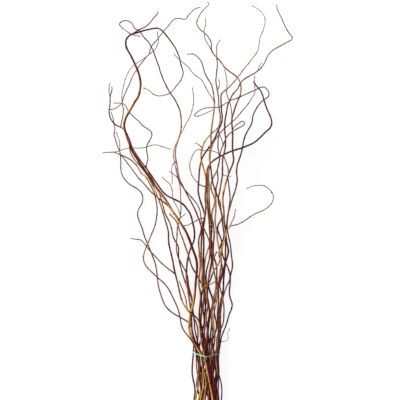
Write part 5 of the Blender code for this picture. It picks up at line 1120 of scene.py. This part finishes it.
TOP_STEMS = [
    {
        "name": "looping_right_stem",
        "bark": "bark_plum",
        "radii": (0.00191, 0.00132),
        "rise": 0.03,
        "tones": (-0.1, 0.2, -0.2, -0.1, 0.1, -0.6, -0.2, -0.3),
        "widths": (1.15, 1.2, 1.1, 1.0, 0.9),
        "route": [
            (218.8, 129), (218.9, 133), (218.3, 138), (217.9, 143), (217.9, 148), (218.6, 152.5),
            (219.4, 156.5), (219.2, 161), (218.2, 165.3), (217.4, 169.8), (217.6, 174.5), (218, 179),
            (217.4, 183), (216.3, 186.5), (215.9, 190), (216.7, 194.5), (218.3, 198.5), (220, 202.5),
            (220.5, 207), (220.9, 211.5), (221.9, 216), (222.3, 221), (222.8, 226), (223.6, 231),
            (223.9, 236), (222.7, 240.5), (220.9, 244.5), (219.5, 249), (219, 254.5), (220, 259.5),
            (221.7, 264), (222.3, 270), (221.2, 276), (219.9, 281.5), (219.9, 287), (221.3, 292.5),
            (222.7, 298), (223.5, 303.5), (224, 309.5), (223.8, 315.5), (223.5, 321), (222.2, 326),
            (219.8, 330), (217.6, 334.5), (216.7, 340.5), (216.4, 347), (215.9, 353.5), (216.2, 360.5),
            (217.3, 367), (218.7, 373.5), (220.3, 379.5), (221.5, 385.5), (221.9, 391.5), (221.5, 398),
            (220.7, 407), (220.9, 418), (222, 430),
        ],
    },
    {
        "name": "thick_hook_stem",
        "bark": "bark_gold",
        "radii": (0.00334, 0.00108),
        "rise": 0.13,
        "tones": (-0.3, -0.1, -0.8, -1.0, -0.5, 0.2, 0.3, 0.1, -0.2, 0.0, 0.6, 1.3, 1.3),
        "widths": (0.7, 0.8, 0.95, 1.15, 1.25, 1.2, 1.2, 1.1, 1.03, 1.2, 1.3),
        "twig_widths": (1.15,),
        "snapped": (1,),
        "route": [
            (144, 88.8), (147, 89.6), (149.5, 91), (152, 93.5), (155, 95.5), (158, 96.5), (162, 96.3),
            (165, 95.6), (168, 94.8), (171, 93), (173.5, 90.5), (176, 87), (178.5, 84), (180.5, 81.5),
            (182.2, 78), (183.3, 74.5), (182.6, 70), (181.3, 66), (180.3, 63), (179.7, 59),
            (178, 54.5), (176.5, 51), (175, 48), (172.5, 44.5), (170, 41), (167, 37), (164, 33.5),
            (161.5, 31), (159, 29.6), (155, 29.4), (150, 30.3), (146, 31.2), (142, 32.3), (139, 33.3),
            (135, 34.5), (131.5, 35.5), (129.5, 37), (127.2, 39.5), (126.3, 42), (126.2, 45),
            (127, 49), (129, 52.5), (130.7, 55.5), (133, 60), (135.3, 65), (137.5, 70), (139.3, 75),
            (140.5, 80), (141, 86), (140, 92), (138.5, 97.5), (135, 102.5), (132, 108), (129, 113),
            (126.5, 117.5), (125, 121.5), (124.3, 126), (125.3, 131), (127.3, 137), (129.3, 143),
            (131.3, 149), (134.7, 155), (138.5, 161), (142.5, 167), (147, 173.5), (151, 180),
            (155.5, 186.5), (160.5, 193), (165.3, 199.5), (168.5, 204.5), (171, 209), (174, 213.5),
            (177.5, 218.5), (181, 224), (184.8, 229.5), (187.5, 235), (190, 241), (192, 247),
            (194, 252.5), (196, 258), (197, 264), (196.8, 271), (196, 279), (195.3, 287), (194.6, 295),
            (193.6, 302), (192, 309), (190.3, 315), (189.2, 321), (188.9, 327), (190, 333.5),
            (192.5, 340), (195.7, 345.5), (199, 350.5), (202, 355), (204.5, 359.5), (206.3, 364.5),
            (207.3, 370), (207.9, 376), (207.8, 382), (207.2, 388), (205.8, 393), (204.5, 398),
            (203.8, 406), (204.5, 416), (205.2, 428), (204.6, 440),
        ],
        "twigs": [
            [
                (158, 12.8), (158, 15), (156, 17), (153, 20.5), (150, 24.3), (147, 27), (143.5, 29.3),
                (141, 30), (139, 31.3), (136, 33), (133.5, 35),
            ],
            [
                (121.5, 155.7), (123.5, 157.8), (127, 162.5), (130.5, 167), (133.5, 171),
                (135.9, 174.3), (138.5, 178), (141.5, 181), (143.7, 183.3), (146.5, 186.7),
                (149.5, 190.2), (152.5, 193.3), (156, 196.2), (159, 198.6), (162, 200.8),
                (165.5, 203.5), (170.3, 207.7),
            ],
        ],
    },
    {
        "name": "gold_diagonal_stem",
        "bark": "bark_gold",
        "radii": (0.00258, 0.00108),
        "rise": 0.02,
        "tones": (-0.7, -0.6, 0.0, 0.4, 0.8, 0.2, -0.2, 0.3, 0.5, 0.5),
        "widths": (0.65, 0.75, 1.05, 1.0, 1.0),
        "snapped": (1,),
        "route": [
            (247, 188.5), (252, 186.2), (256, 185.5), (260, 185.3), (264, 185.8), (267.5, 187.8),
            (270.3, 190.3), (272.5, 193.3), (273.5, 197), (272.7, 201), (270.5, 204.7), (267, 208),
            (263, 210.5), (258.5, 212.3), (254, 214.3), (250, 217), (246.5, 219.5), (242.5, 221.7),
            (238.5, 224), (234.5, 225.2), (230.8, 225.8), (228, 228.7), (226.2, 232.5), (225.1, 237),
            (223.7, 241.7), (222.5, 246.7), (221.6, 252), (220.7, 257), (219.2, 262), (216.7, 266.3),
            (214, 270), (212.2, 274.3), (210.8, 278.7), (208.7, 282.7), (206, 285.7), (203.5, 288.3),
            (202, 291.7), (201.4, 296), (201.3, 301), (201.5, 306.5), (201.5, 312.5), (201, 318.5),
            (200.9, 325), (202, 331), (203.6, 336.5), (204.4, 342), (204.6, 348), (204.9, 354.5),
            (204.4, 361), (203.3, 367.5), (203, 374), (203.9, 380.5), (203.8, 387), (202, 393),
            (200.9, 399.5), (201.3, 409), (203.3, 420), (206.3, 433),
        ],
        "twigs": [
            [(235.3, 209.3), (234.7, 214), (233.8, 218), (231.8, 221.5), (229.7, 226.6)],
            [(216.5, 280.7), (212.5, 283), (209, 284.6), (205.5, 286.2)],
        ],
    },
    {
        "name": "plum_loop_stem",
        "bark": "bark_plum",
        "radii": (0.00267, 0.00108),
        "rise": 0.11,
        "tones": (-0.1, -0.1, -0.2, 0.2, 0.6, 0.7, 0.3, 0.0, -0.1, 0.1, 0.4),
        "widths": (0.9, 0.9, 0.85, 0.95, 1.1, 1.0),
        "twig_widths": (0.7,),
        "route": [
            (140.5, 37.5), (138, 37), (135, 36.5), (131, 35), (128, 33), (125, 31), (122, 28.2),
            (119.8, 25.8), (120, 24), (122.5, 22.5), (126, 21.5), (129.5, 22.5), (132, 24),
            (133.2, 25.8), (134, 28), (136, 30.3), (138.5, 31.5), (141.3, 34), (143, 36.5),
            (144.8, 39), (147, 41), (149, 43), (150, 45), (151.5, 48), (153.5, 51.5), (154.3, 54),
            (155.3, 57), (156.5, 60), (157.5, 63.5), (159, 66.5), (160.3, 72), (161.7, 75.5),
            (163.3, 80), (165.5, 84.5), (168, 89.5), (170.3, 93.5), (172.5, 96.5), (175, 100),
            (177, 104), (179.3, 109), (180.5, 114), (181.2, 119), (181.3, 124), (181, 130),
            (179.9, 135), (178.7, 139), (177.2, 143.5), (175.9, 148), (175.4, 152.5), (175.6, 157),
            (176.3, 161.5), (177.2, 166), (177.9, 170.5), (178.5, 175), (179.7, 179.7), (181.7, 184),
            (184, 188.5), (186.1, 192.5), (188.4, 197), (190.6, 201), (192.7, 205), (194.7, 209),
            (196.2, 212.5), (197.5, 216), (198.9, 219.3), (200.2, 222.7), (201, 226.3), (201.1, 230.3),
            (200.2, 234), (198.9, 238), (198.6, 243.5), (199.1, 250), (199.7, 257), (200.2, 264),
            (199.8, 271), (198.9, 278), (198.9, 284.5), (200, 290.5), (200.6, 297), (200, 304),
            (199.4, 311), (199.6, 318), (201, 324.5), (202.3, 331), (203, 337.5), (203.4, 344),
            (203, 350.5), (202.2, 357), (202.6, 363.5), (204.1, 370), (205.7, 377), (206.3, 384),
            (205.3, 391), (204.9, 398), (206.2, 406), (206.9, 417), (206.3, 429),
        ],
        "twigs": [
            [(172, 184), (172.4, 178), (171.8, 172), (172, 167.5), (173.3, 164), (176.3, 161.5)],
        ],
    },
    {
        "name": "twin_top_stem",
        "bark": "bark_russet",
        "radii": (0.00229, 0.00096),
        "rise": 0.08,
        "tones": (-0.4, -0.2, 0.3, 0.5, 0.5, 0.6, 0.0, -0.3, -0.5, -0.6),
        "widths": (1.05, 1.2, 1.2, 1.1, 1.0, 1.0),
        "route": [
            (187.3, 55), (190, 54.5), (193, 54.5), (195.5, 55.5), (197.5, 57.5), (200, 60),
            (202, 63.5), (203, 67), (204, 71), (205.5, 75), (207.3, 78.5), (210, 82.5), (212, 87),
            (213.2, 92), (213.7, 97), (214.3, 101), (214.2, 108), (213.7, 113), (213, 118),
            (212.3, 123), (211.6, 128), (211, 133), (210.8, 137.5), (211, 142), (210.6, 146.5),
            (209.9, 151), (209.4, 156), (209.6, 161), (210.3, 165.7), (211.1, 170.5), (211.6, 175.5),
            (212, 180), (213.1, 184.5), (214.4, 188.7), (215.4, 193), (215.6, 198.5), (215.7, 204.5),
            (215.7, 210.5), (215.2, 216.5), (215, 222), (215.9, 227), (216.7, 232), (217.2, 238),
            (218, 244), (219.2, 249.5), (220.4, 255), (221.3, 261), (220.8, 267), (219.9, 273.5),
            (218.9, 280), (218.4, 286.5), (218.4, 293), (218.6, 300), (218, 307), (217.5, 314),
            (217.5, 321), (218, 328), (218.3, 335), (217.8, 342), (216.9, 349), (216.3, 356),
            (216.4, 363), (217.3, 370), (218.1, 377), (218.4, 384), (218, 391), (217.5, 398),
            (217.8, 408), (218.3, 420), (217.7, 433),
        ],
        "twigs": [
            [
                (174.3, 55), (175.5, 56.8), (177.5, 58.7), (179.5, 60), (182, 62.5), (185, 65),
                (189, 68.5), (191.5, 72), (194, 75), (197.5, 77.5), (201, 80), (203.5, 83.5),
                (205, 86.5), (207, 90.5), (209.5, 95), (212, 98), (214.2, 102),
            ],
        ],
    },
    {
        "name": "pointer_stem",
        "bark": "bark_russet",
        "radii": (0.0021, 0.00144),
        "rise": 0.03,
        "tones": (0.4, 0.1, 0.2, -0.2, 0.0, -0.2, -0.1, 0.4, 0.1),
        "widths": (1.05, 0.95, 0.9, 0.9, 1.0),
        "snapped": (0,),
        "route": [
            (103, 152.7), (108, 152.6), (112.5, 152.3), (116, 152.9), (119, 154.3), (123, 155.9),
            (127.5, 157.9), (131, 160), (134, 162.7), (136.6, 165.6), (138.7, 168.7), (140.3, 171.7),
            (142.3, 174.2), (145, 176), (147, 178.5), (149, 182), (151, 186), (153, 190),
            (154.8, 194.3), (155.8, 199), (156.8, 204), (157.2, 210), (156.7, 216), (155.8, 222.5),
            (154.2, 228), (152, 233), (150, 238), (148, 243), (146.4, 247), (144.7, 251),
            (143.6, 255.5), (143.4, 259.3), (144.4, 263), (146.6, 267), (150, 270.5), (153.5, 273.7),
            (157, 277), (160.5, 280), (164, 283.2), (166.6, 286.3), (169, 289.8), (171, 293.7),
            (173, 298), (175, 302), (177, 306.5), (178.6, 311), (179.7, 315.5), (180.4, 320),
            (181.4, 325), (183.2, 329.5), (186, 333.5), (189.3, 337.5), (192.3, 341.5), (194.5, 346),
            (195.8, 351.5), (196.3, 357.5), (196.3, 364), (196.8, 370.5), (197.9, 377), (198.3, 383.5),
            (197.3, 390), (196, 396), (195.5, 403), (196.3, 414), (198, 427),
        ],
        "twigs": [
            [
                (170.7, 149.5), (166, 148), (160, 146), (155, 145), (149, 146.3), (144, 148),
                (138, 148.3), (131, 148), (124, 149.5), (118, 151.5), (113, 152.4),
            ],
        ],
    },
    {
        "name": "bent_stem",
        "bark": "bark_russet",
        "radii": (0.00229, 0.00096),
        "rise": 0.05,
        "tones": (0.3, 0.3, 0.3, 0.4, 0.2, 0.0, -0.1, -0.3, 0.0, 0.3),
        "widths": (0.8, 0.95, 1.15, 1.05, 1.0, 1.0),
        "route": [
            (254.5, 76), (254.3, 80), (254.3, 85), (254.5, 93.5), (252.5, 97), (250, 101),
            (247, 105.5), (243, 110), (239, 115), (235.5, 119), (231.5, 122.5), (227.5, 126),
            (223.5, 129.5), (219.7, 133.7), (217, 137.3), (214.8, 140.7), (212.9, 144), (211.5, 147.6),
            (210.5, 151.7), (210, 156), (209.9, 161), (209.7, 166), (208.9, 171), (208.5, 176.5),
            (208.9, 182), (209.1, 188), (209, 194), (209.1, 200), (209.4, 206.5), (209.9, 213),
            (210.6, 219), (211.3, 225), (211.6, 231), (211.3, 237.5), (211, 244), (211, 251),
            (211.3, 257.5), (211.4, 264), (210.5, 270.5), (209, 277), (207.6, 283.5), (206.8, 290),
            (206.9, 296.5), (207.7, 303), (207.3, 309.5), (206.1, 316), (206.2, 322.5), (207.3, 329),
            (207.5, 335.5), (206.6, 342), (206, 348.5), (206.4, 355), (207.9, 361.5), (209.3, 368),
            (210, 375), (210, 382), (209.2, 389), (208.9, 396), (209.9, 405), (210.9, 416),
            (210.2, 428),
        ],
    },
    {
        "name": "left_gold_stem",
        "bark": "bark_gold",
        "radii": (0.00248, 0.00108),
        "rise": 0.04,
        "tones": (0.4, 0.4, 0.1, -0.4, -0.3, -0.3, 0.3, 1.2, 1.2),
        "widths": (1.05, 1.0, 1.0, 1.05, 1.1, 1.1, 1.1, 1.1, 1.03, 1.2, 1.3),
        "twig_widths": (1.2,),
        "route": [
            (127.8, 134), (129, 139), (129.6, 144), (129.8, 149), (131, 153.5), (133, 157.5),
            (136, 161.6), (139.3, 165.3), (143, 169.8), (147, 175.3), (150.3, 180.8), (153, 186),
            (155.3, 191), (157.2, 195.8), (159.2, 201), (161, 206.3), (162.6, 211), (164, 216),
            (165.8, 222), (167.5, 227.7), (168.5, 233), (168.5, 238), (168.9, 243.5), (170.1, 249.5),
            (171.5, 255.3), (172.8, 261), (173.7, 266.5), (174.9, 272.3), (176.3, 278), (177.8, 284),
            (179, 290), (180.4, 296), (182.4, 302), (185.2, 307), (188.3, 310.8), (191.7, 313.8),
            (194.8, 315.9), (197.3, 318.3), (198.8, 321.8), (199.6, 326.5), (200.2, 331.5),
            (200.7, 337), (201.5, 342.5), (202.8, 348), (204.2, 354), (205.4, 360), (206.9, 367),
            (208.3, 374), (209.6, 381), (210.8, 387), (211.9, 393.5), (212.8, 400), (213.3, 409),
            (212.8, 420), (212.2, 433),
        ],
        "twigs": [
            [
                (131, 238.3), (136, 239.3), (140.5, 239.7), (142.7, 241.3), (144.8, 244), (147, 247),
                (152, 253), (155, 256), (158.5, 260), (162, 263.5), (165.5, 266.5), (169, 269.5),
                (175.2, 274),
            ],
            [
                (179.3, 281.3), (181, 285.3), (182.3, 288.5), (184, 293), (185.3, 297.5), (186.3, 301),
                (186.7, 305), (187.3, 309.5),
            ],
        ],
    },
]

for stem in TOP_STEMS:
    willow_stem(stem, laid, chance)


# The rubber band. It is a flat strip of soft mint-green rubber, stretched once round the whole bunch.
# It lies on the outermost stems and spans the gaps between them, and leans towards the cut ends on top.

BAND_CLEARANCE = 0.00025
BAND_STEP = 0.0016
BAND_CORNER = 0.0004
BAND_TURN = np.pi / 24
BAND_TILTS = (-50, -35, -20, -8, 0, 8, 20, 35, 50)
BAND_READING = 0.0008
SMALLEST_AREA = 1e-12
# The painted shade on the band's right end: where it starts and ends along X, and its colour.
BAND_PAINTED_SHADE = (0.018, 0.027, 0.0, 0.85)
BAND_SHADE_COLOUR = (0.035, 0.055, 0.045, 1)
RUBBER_COLOURS = ((0.15, 0.52, 0.31, 1), (0.25, 0.68, 0.46, 1))
RUBBER_MOTTLE = 160.0
RUBBER_LINES = (60.0, 2600.0, 2600.0)
RUBBER_ROUGHNESS = (0.3, 0.7, 0.45, 0.68)
RUBBER_RELIEF = 0.0001
RUBBER_BUMP = 0.4
BLOOM = (0.52, 0.75, 0.0, 0.3)
BLOOM_COLOUR = (0.32, 0.60, 0.45, 1)


def band_place(x, up):
    """The Y of the band's middle line where its loop is at the given X and height."""
    peak, even = ((across - MIDDLE_ACROSS) * GRID for across in (BAND_PEAK_ACROSS, BAND_EVEN_ACROSS))
    lean = BAND_LEAN + (BAND_LEAN_RIGHT - BAND_LEAN) * ramp(x, peak, even)
    return height_on_grid(BAND_FOOT_DOWN) - BAND_SLOPE * (x - peak) - lean * up


def outline_round(spots):
    """The corners of the tight loop round a set of points, anticlockwise."""
    ordered = sorted(spots)
    loop = []
    for chain in (ordered, ordered[::-1]):
        start = len(loop)
        for spot in chain:
            while len(loop) >= start + 2:
                (ax, ay), (bx, by) = loop[-2], loop[-1]
                if (bx - ax) * (spot[1] - ay) - (by - ay) * (spot[0] - ax) > SMALLEST_AREA:
                    break
                loop.pop()
            loop.append(spot)
        loop.pop()
    return loop


def band_route():
    """The inner line of the band, seen along Y, as evenly spaced points and their outward directions."""
    turns = np.arange(0, 2 * np.pi, BAND_TURN)
    spots = []
    for line in laid:
        along = arc_lengths(line["points"])
        places = np.arange(0, along[-1], BAND_READING)
        across, y, up = (np.interp(places, along, line["points"][:, k]) for k in range(3))
        out = np.interp(places, along, line["radii"]) + BAND_CLEARANCE
        for tilt in np.radians(BAND_TILTS):
            ahead = y + out * np.sin(tilt)
            for turn in turns:
                x = across + out * np.cos(tilt) * np.cos(turn)
                v = up + out * np.cos(tilt) * np.sin(turn)
                met = np.abs(ahead - band_place(x, v)) < 0.5 * BAND_WIDTH
                spots.extend(zip(x[met], v[met]))
    corners = np.array(outline_round(spots))
    closed = np.vstack([corners, corners[:1]])
    along = arc_lengths(closed)
    places = np.linspace(0, along[-1], int(along[-1] / BAND_STEP) + 1)[:-1]
    even = np.column_stack([np.interp(places, along, closed[:, k]) for k in (0, 1)])
    tangents = np.roll(even, -1, axis=0) - np.roll(even, 1, axis=0)
    tangents /= np.linalg.norm(tangents, axis=1)[:, None]
    return even, np.column_stack([tangents[:, 1], -tangents[:, 0]]), places


def band_section():
    """The band's cross-section: a strip with rounded edges, as (outward, along the stems)."""
    corners = []
    half = 0.5 * BAND_WIDTH - BAND_CORNER
    for middle_out, middle_along, start in (
        (BAND_THICKNESS - BAND_CORNER, half, 0.0),
        (BAND_CORNER, half, 0.5 * np.pi),
        (BAND_CORNER, -half, np.pi),
        (BAND_THICKNESS - BAND_CORNER, -half, 1.5 * np.pi),
    ):
        for turn in (0.0, 0.25 * np.pi, 0.5 * np.pi):
            corners.append(
                (
                    middle_out + BAND_CORNER * np.cos(start + turn),
                    middle_along + BAND_CORNER * np.sin(start + turn),
                )
            )
    return corners


def rubber():
    """Soft mint-green rubber, dull, with fine lines along the strip, a chalky bloom and painted shade that
    darkens its right end.
    """
    made = bpy.data.materials.new("rubber_green")
    made.use_nodes = True
    tree = made.node_tree
    link = tree.links.new
    shader = tree.nodes["Principled BSDF"]
    place = add_node(tree, "ShaderNodeAttribute", (-1200, 0), attribute_name="strip")
    mottle = add_node(tree, "ShaderNodeTexNoise", (-900, 200), Scale=RUBBER_MOTTLE, Detail=3.0)
    link(place.outputs["Vector"], mottle.inputs["Vector"])
    stretch = add_node(tree, "ShaderNodeMapping", (-1050, -150))
    stretch.inputs["Scale"].default_value = RUBBER_LINES
    link(place.outputs["Vector"], stretch.inputs["Vector"])
    lines = add_node(tree, "ShaderNodeTexNoise", (-850, -150), Scale=1.0, Detail=2.0)
    link(stretch.outputs["Vector"], lines.inputs["Vector"])
    tone = ranged(tree, (-650, 200), mottle.outputs["Fac"], 0.3, 0.7)
    colour = mixed(tree, (-400, 200), tone, *RUBBER_COLOURS)
    bloom = ranged(tree, (-650, -50), lines.outputs["Fac"], *BLOOM)
    colour = mixed(tree, (-200, 200), bloom, colour, BLOOM_COLOUR)
    # Painted shade: the band turns a darker grey green towards its right end, by its X.
    across = add_node(tree, "ShaderNodeSeparateXYZ", (-650, 450))
    link(add_node(tree, "ShaderNodeTexCoord", (-850, 450)).outputs["Object"], across.inputs["Vector"])
    band_shade = ranged(tree, (-400, 450), across.outputs["X"], *BAND_PAINTED_SHADE)
    link(mixed(tree, (0, 300), band_shade, colour, BAND_SHADE_COLOUR), shader.inputs["Base Color"])
    rough = ranged(tree, (-400, -50), mottle.outputs["Fac"], *RUBBER_ROUGHNESS)
    link(rough, shader.inputs["Roughness"])
    bump = add_node(tree, "ShaderNodeBump", (-200, -250), Strength=RUBBER_BUMP, Distance=RUBBER_RELIEF)
    link(lines.outputs["Fac"], bump.inputs["Height"])
    link(bump.outputs["Normal"], shader.inputs["Normal"])
    return made


def rubber_band():
    """The strip, pulled once round the bunch and closed on itself."""
    even, outward, places = band_route()
    section = band_section()
    bm = bmesh.new()
    strip = bm.verts.layers.float_vector.new("strip")
    corners = bmesh.ops.create_circle(bm, cap_ends=True, segments=len(section), radius=1.0)["verts"]
    face = corners[0].link_faces[0]
    start = face
    for place, ((x, up), (out_x, out_up)) in enumerate(zip(even, outward)):
        if place:
            end = [face, *face.edges, *face.verts]
            pulled = bmesh.ops.extrude_face_region(bm, geom=end)["geom"]
            face = next(item for item in pulled if isinstance(item, bmesh.types.BMFace))
        for vertex, (out, ahead) in zip(face.verts, section):
            height = up + out * out_up
            vertex.co = (x + out * out_x, band_place(x, up) + ahead, height)
            vertex[strip] = (places[place], out, ahead)
    loops = list(start.edges) + list(face.edges)
    bmesh.ops.delete(bm, geom=[start, face], context="FACES_ONLY")
    bmesh.ops.bridge_loops(bm, edges=loops)
    bmesh.ops.recalc_face_normals(bm, faces=bm.faces)
    mesh = bpy.data.meshes.new("rubber_band_strip")
    bm.to_mesh(mesh)
    bm.free()
    mesh.shade_smooth()
    piece = bpy.data.objects.new("rubber_band_strip", mesh)
    bpy.context.scene.collection.objects.link(piece)
    mesh.materials.append(rubber())
    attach(piece, "root")
    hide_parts("rubber_band")


rubber_band()


# The studio. The bunch lies on a plain white sheet that is lit from below as well, so that it stays
# white, under soft daylight from the upper left.

FLOOR_SIZE = 12.0
FLOOR_DEPTH = 0.0002
SKY_STRENGTH = 0.9
KEY_STRENGTH = 2.4
FLOOR_GLOW = 0.84
KEY_SPREAD = 0.6
KEY_FROM = (-0.9, 0.4, 0.6)
SHEET_TINTS = ((0.14, 0.14, 0.14, 1), (0.15, 0.15, 0.15, 1))
SHEET_TOOTH = 30.0
SHEET_ROUGHNESS = 0.9


def white_surface():
    """A plain white sheet, lit from below too, with a barely seen tooth."""
    made = bpy.data.materials.new("white_surface")
    made.use_nodes = True
    tree = made.node_tree
    shader = tree.nodes["Principled BSDF"]
    place = add_node(tree, "ShaderNodeTexCoord", (-900, 0))
    tooth = add_node(tree, "ShaderNodeTexNoise", (-700, 0), Scale=SHEET_TOOTH, Detail=2.0)
    tree.links.new(place.outputs["Object"], tooth.inputs["Vector"])
    tint = mixed(tree, (-300, 0), tooth.outputs["Fac"], *SHEET_TINTS)
    tree.links.new(tint, shader.inputs["Base Color"])
    shader.inputs["Roughness"].default_value = SHEET_ROUGHNESS
    shader.inputs["Specular IOR Level"].default_value = 0.0
    shader.inputs["Emission Color"].default_value = (1, 1, 1, 1)
    shader.inputs["Emission Strength"].default_value = FLOOR_GLOW
    return made


def studio():
    """The floor, the sky light and the key light."""
    bm = bmesh.new()
    bmesh.ops.create_grid(bm, x_segments=1, y_segments=1, size=0.5 * FLOOR_SIZE)
    bmesh.ops.translate(bm, verts=bm.verts, vec=(0, 0, -FLOOR_DEPTH))
    mesh = bpy.data.meshes.new("floor")
    bm.to_mesh(mesh)
    bm.free()
    floor = bpy.data.objects.new("floor", mesh)
    bpy.context.scene.collection.objects.link(floor)
    mesh.materials.append(white_surface())
    world = bpy.data.worlds.new("sky")
    world.use_nodes = True
    world.node_tree.nodes["Background"].inputs["Color"].default_value = (1, 1, 1, 1)
    world.node_tree.nodes["Background"].inputs["Strength"].default_value = SKY_STRENGTH
    bpy.context.scene.world = world
    key = bpy.data.lights.new("key", "SUN")
    key.energy = KEY_STRENGTH
    key.angle = KEY_SPREAD
    lamp = bpy.data.objects.new("key", key)
    lamp.rotation_euler = Vector(KEY_FROM).to_track_quat("Z", "Y").to_euler()
    bpy.context.scene.collection.objects.link(lamp)
    bpy.context.scene.view_settings.view_transform = "Standard"


studio()


# The camera looks straight down from far off. The photo is 400 squares of the drawing grid wide and
# high, and the cut ends are below its lower edge.

PHOTO_SQUARES = 400.0
CAMERA_HEIGHT = 20.0
SENSOR = 36.0

camera = bpy.data.cameras.new("camera")
camera.sensor_width = SENSOR
camera.lens = SENSOR * CAMERA_HEIGHT / (PHOTO_SQUARES * GRID)
camera.clip_end = 2 * CAMERA_HEIGHT
viewer = bpy.data.objects.new("camera", camera)
viewer.location = (
    (0.5 * PHOTO_SQUARES - MIDDLE_ACROSS) * GRID,
    (MIDDLE_DOWN - 0.5 * PHOTO_SQUARES) * GRID,
    CAMERA_HEIGHT,
)
bpy.context.scene.collection.objects.link(viewer)
bpy.context.scene.camera = viewer
